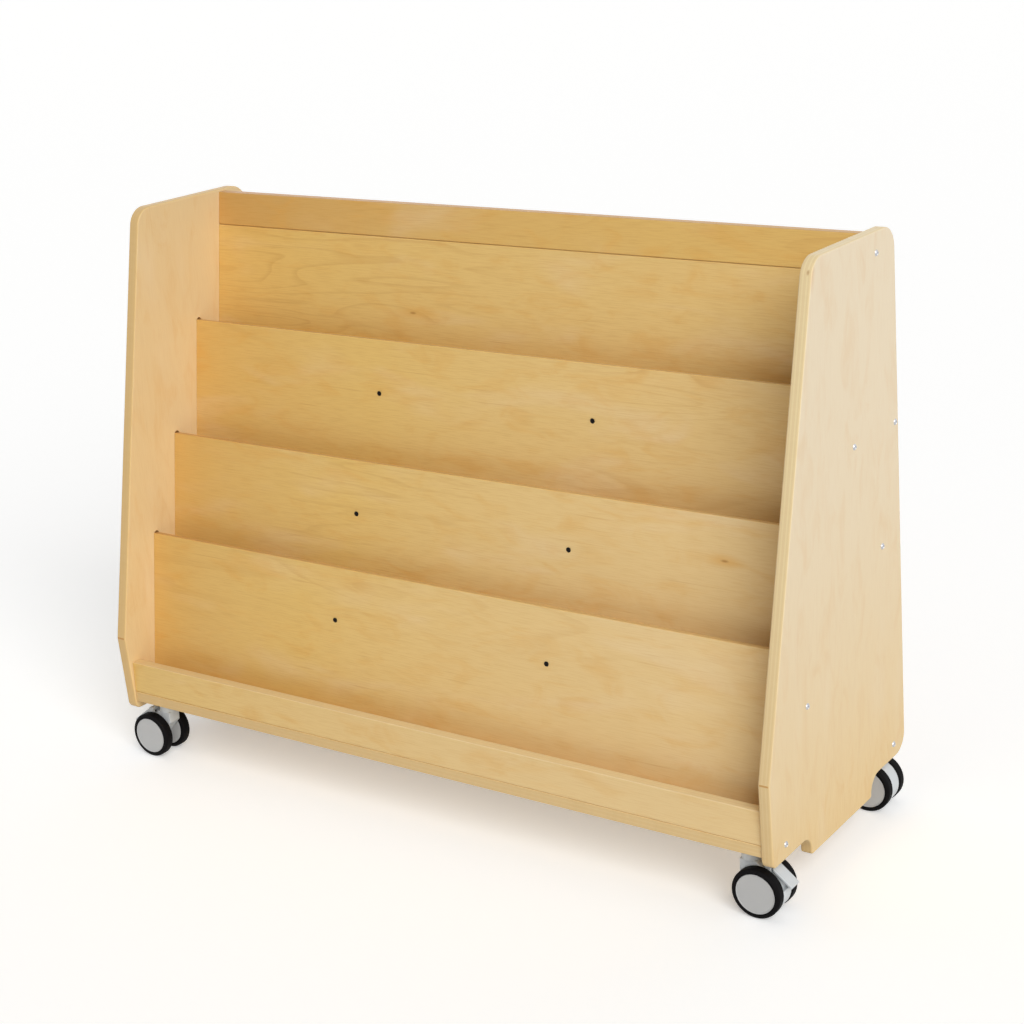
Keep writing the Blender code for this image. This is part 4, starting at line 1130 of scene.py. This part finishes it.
class SHELF_OT_stage(bpy.types.Operator):
    """Pale floor, soft studio light and the camera"""

    bl_idname = "shelf.stage"
    bl_label = "Stage"

    def execute(self, context):
        stage = context.scene.shelf_stage
        self.floor(context, stage)
        self.surroundings(context, stage)
        for name in ("key", "fill"):
            self.lamp(context, stage, name)
        self.camera(context, stage)
        context.scene.view_settings.view_transform = "Standard"
        return {"FINISHED"}

    def floor(self, context, stage):
        """Square floor under the wheels, of a dull pale paint that is lifted a little where it is seen."""
        corners = stage.floor_reach * np.array([(-1, -1, 0), (1, -1, 0), (1, 1, 0), (-1, 1, 0)])
        mesh = bpy.data.meshes.new("floor")
        mesh.from_pydata(corners, [], [(0, 1, 2, 3)])
        material = start_material("pale_floor_paint")
        tree = material.node_tree
        shader = node(tree, "BsdfPrincipled", None, {
            "Base Color": rgba(context.scene.shelf_colours.floor), "Roughness": 0.9,
            "Specular IOR Level": 0.1, "Emission Color": WHITE,
            "Emission Strength": maths(tree, "MULTIPLY", seen(tree), stage.lift)})
        node(tree, "OutputMaterial", None, {"Surface": shader.outputs[0]})
        mesh.materials.append(material)
        floor = bpy.data.objects.new("floor", mesh)
        context.scene.collection.objects.link(floor)

    def surroundings(self, context, stage):
        """Weak even light from all round, which the camera and reflections see as white."""
        world = bpy.data.worlds.new("studio")
        world.use_nodes = True
        tree = world.node_tree
        tree.nodes.clear()
        strength = ramp(tree, seen(tree), (0.0, 1.0), (stage.ambient, 1.0))
        light = node(tree, "Background", None, {"Color": WHITE, "Strength": strength})
        node(tree, "OutputWorld", None, {"Surface": light.outputs[0]})
        context.scene.world = world

    def lamp(self, context, stage, name):
        """Wide soft light from one direction, as from a large panel far away."""
        data = bpy.data.lights.new(name, "SUN")
        data.energy = getattr(stage, name)
        data.angle = getattr(stage, f"{name}_spread")
        lamp = bpy.data.objects.new(name, data)
        elevation, azimuth = getattr(stage, f"{name}_elevation"), getattr(stage, f"{name}_azimuth")
        lamp.rotation_euler = (math.pi / 2 - elevation, 0, azimuth)
        context.scene.collection.objects.link(lamp)

    def camera(self, context, stage):
        """Camera at the photograph's place, its turn built from azimuth, elevation and roll."""
        back = bearing(stage.azimuth, stage.elevation)
        right = unit(np.cross(-back, (0, 0, 1)))
        down = np.cross(-back, right)
        across = math.cos(stage.roll) * right + math.sin(stage.roll) * down
        up = math.sin(stage.roll) * right - math.cos(stage.roll) * down
        data = bpy.data.cameras.new("camera")
        data.lens = stage.lens
        data.sensor_width = 36.0
        camera = bpy.data.objects.new("camera", data)
        matrix = np.eye(4)
        matrix[:3] = np.stack([across, up, back, np.array(stage.camera_at)], 1)
        camera.matrix_world = Matrix(matrix.tolist())
        context.scene.collection.objects.link(camera)
        context.scene.camera = camera


OPERATORS = (SHELF_OT_sides, SHELF_OT_display, SHELF_OT_shelves, SHELF_OT_side_screws,
             SHELF_OT_panel_screws, SHELF_OT_wheels, SHELF_OT_housings, SHELF_OT_pedals, SHELF_OT_stage)


class SHELF_PT_panel(bpy.types.Panel):
    """Sidebar panel with the shelf's operators and settings"""

    bl_label = "Book Display Shelf"
    bl_idname = "SHELF_PT_panel"
    bl_space_type = "VIEW_3D"
    bl_region_type = "UI"
    bl_category = "Shelf"

    def draw(self, context):
        for operator in OPERATORS:
            self.layout.operator(operator.bl_idname)
        for name, group in GROUPS.items():
            column = self.layout.column()
            for key in group.__annotations__:
                column.prop(getattr(context.scene, name), key)


def register():
    """Registers the settings, the operators and the panel."""
    for cls in (*GROUPS.values(), *OPERATORS, SHELF_PT_panel):
        bpy.utils.register_class(cls)
    for name, group in GROUPS.items():
        setattr(bpy.types.Scene, name, bpy.props.PointerProperty(type=group))


def unregister():
    """Takes them away again."""
    for name in GROUPS:
        delattr(bpy.types.Scene, name)
    for cls in reversed((*GROUPS.values(), *OPERATORS, SHELF_PT_panel)):
        bpy.utils.unregister_class(cls)


def main():
    """Makes every piece and the stage."""
    register()
    for operator in OPERATORS:
        group, name = operator.bl_idname.split(".")
        getattr(getattr(bpy.ops, group), name)()


if __name__ == "__main__":
    main()
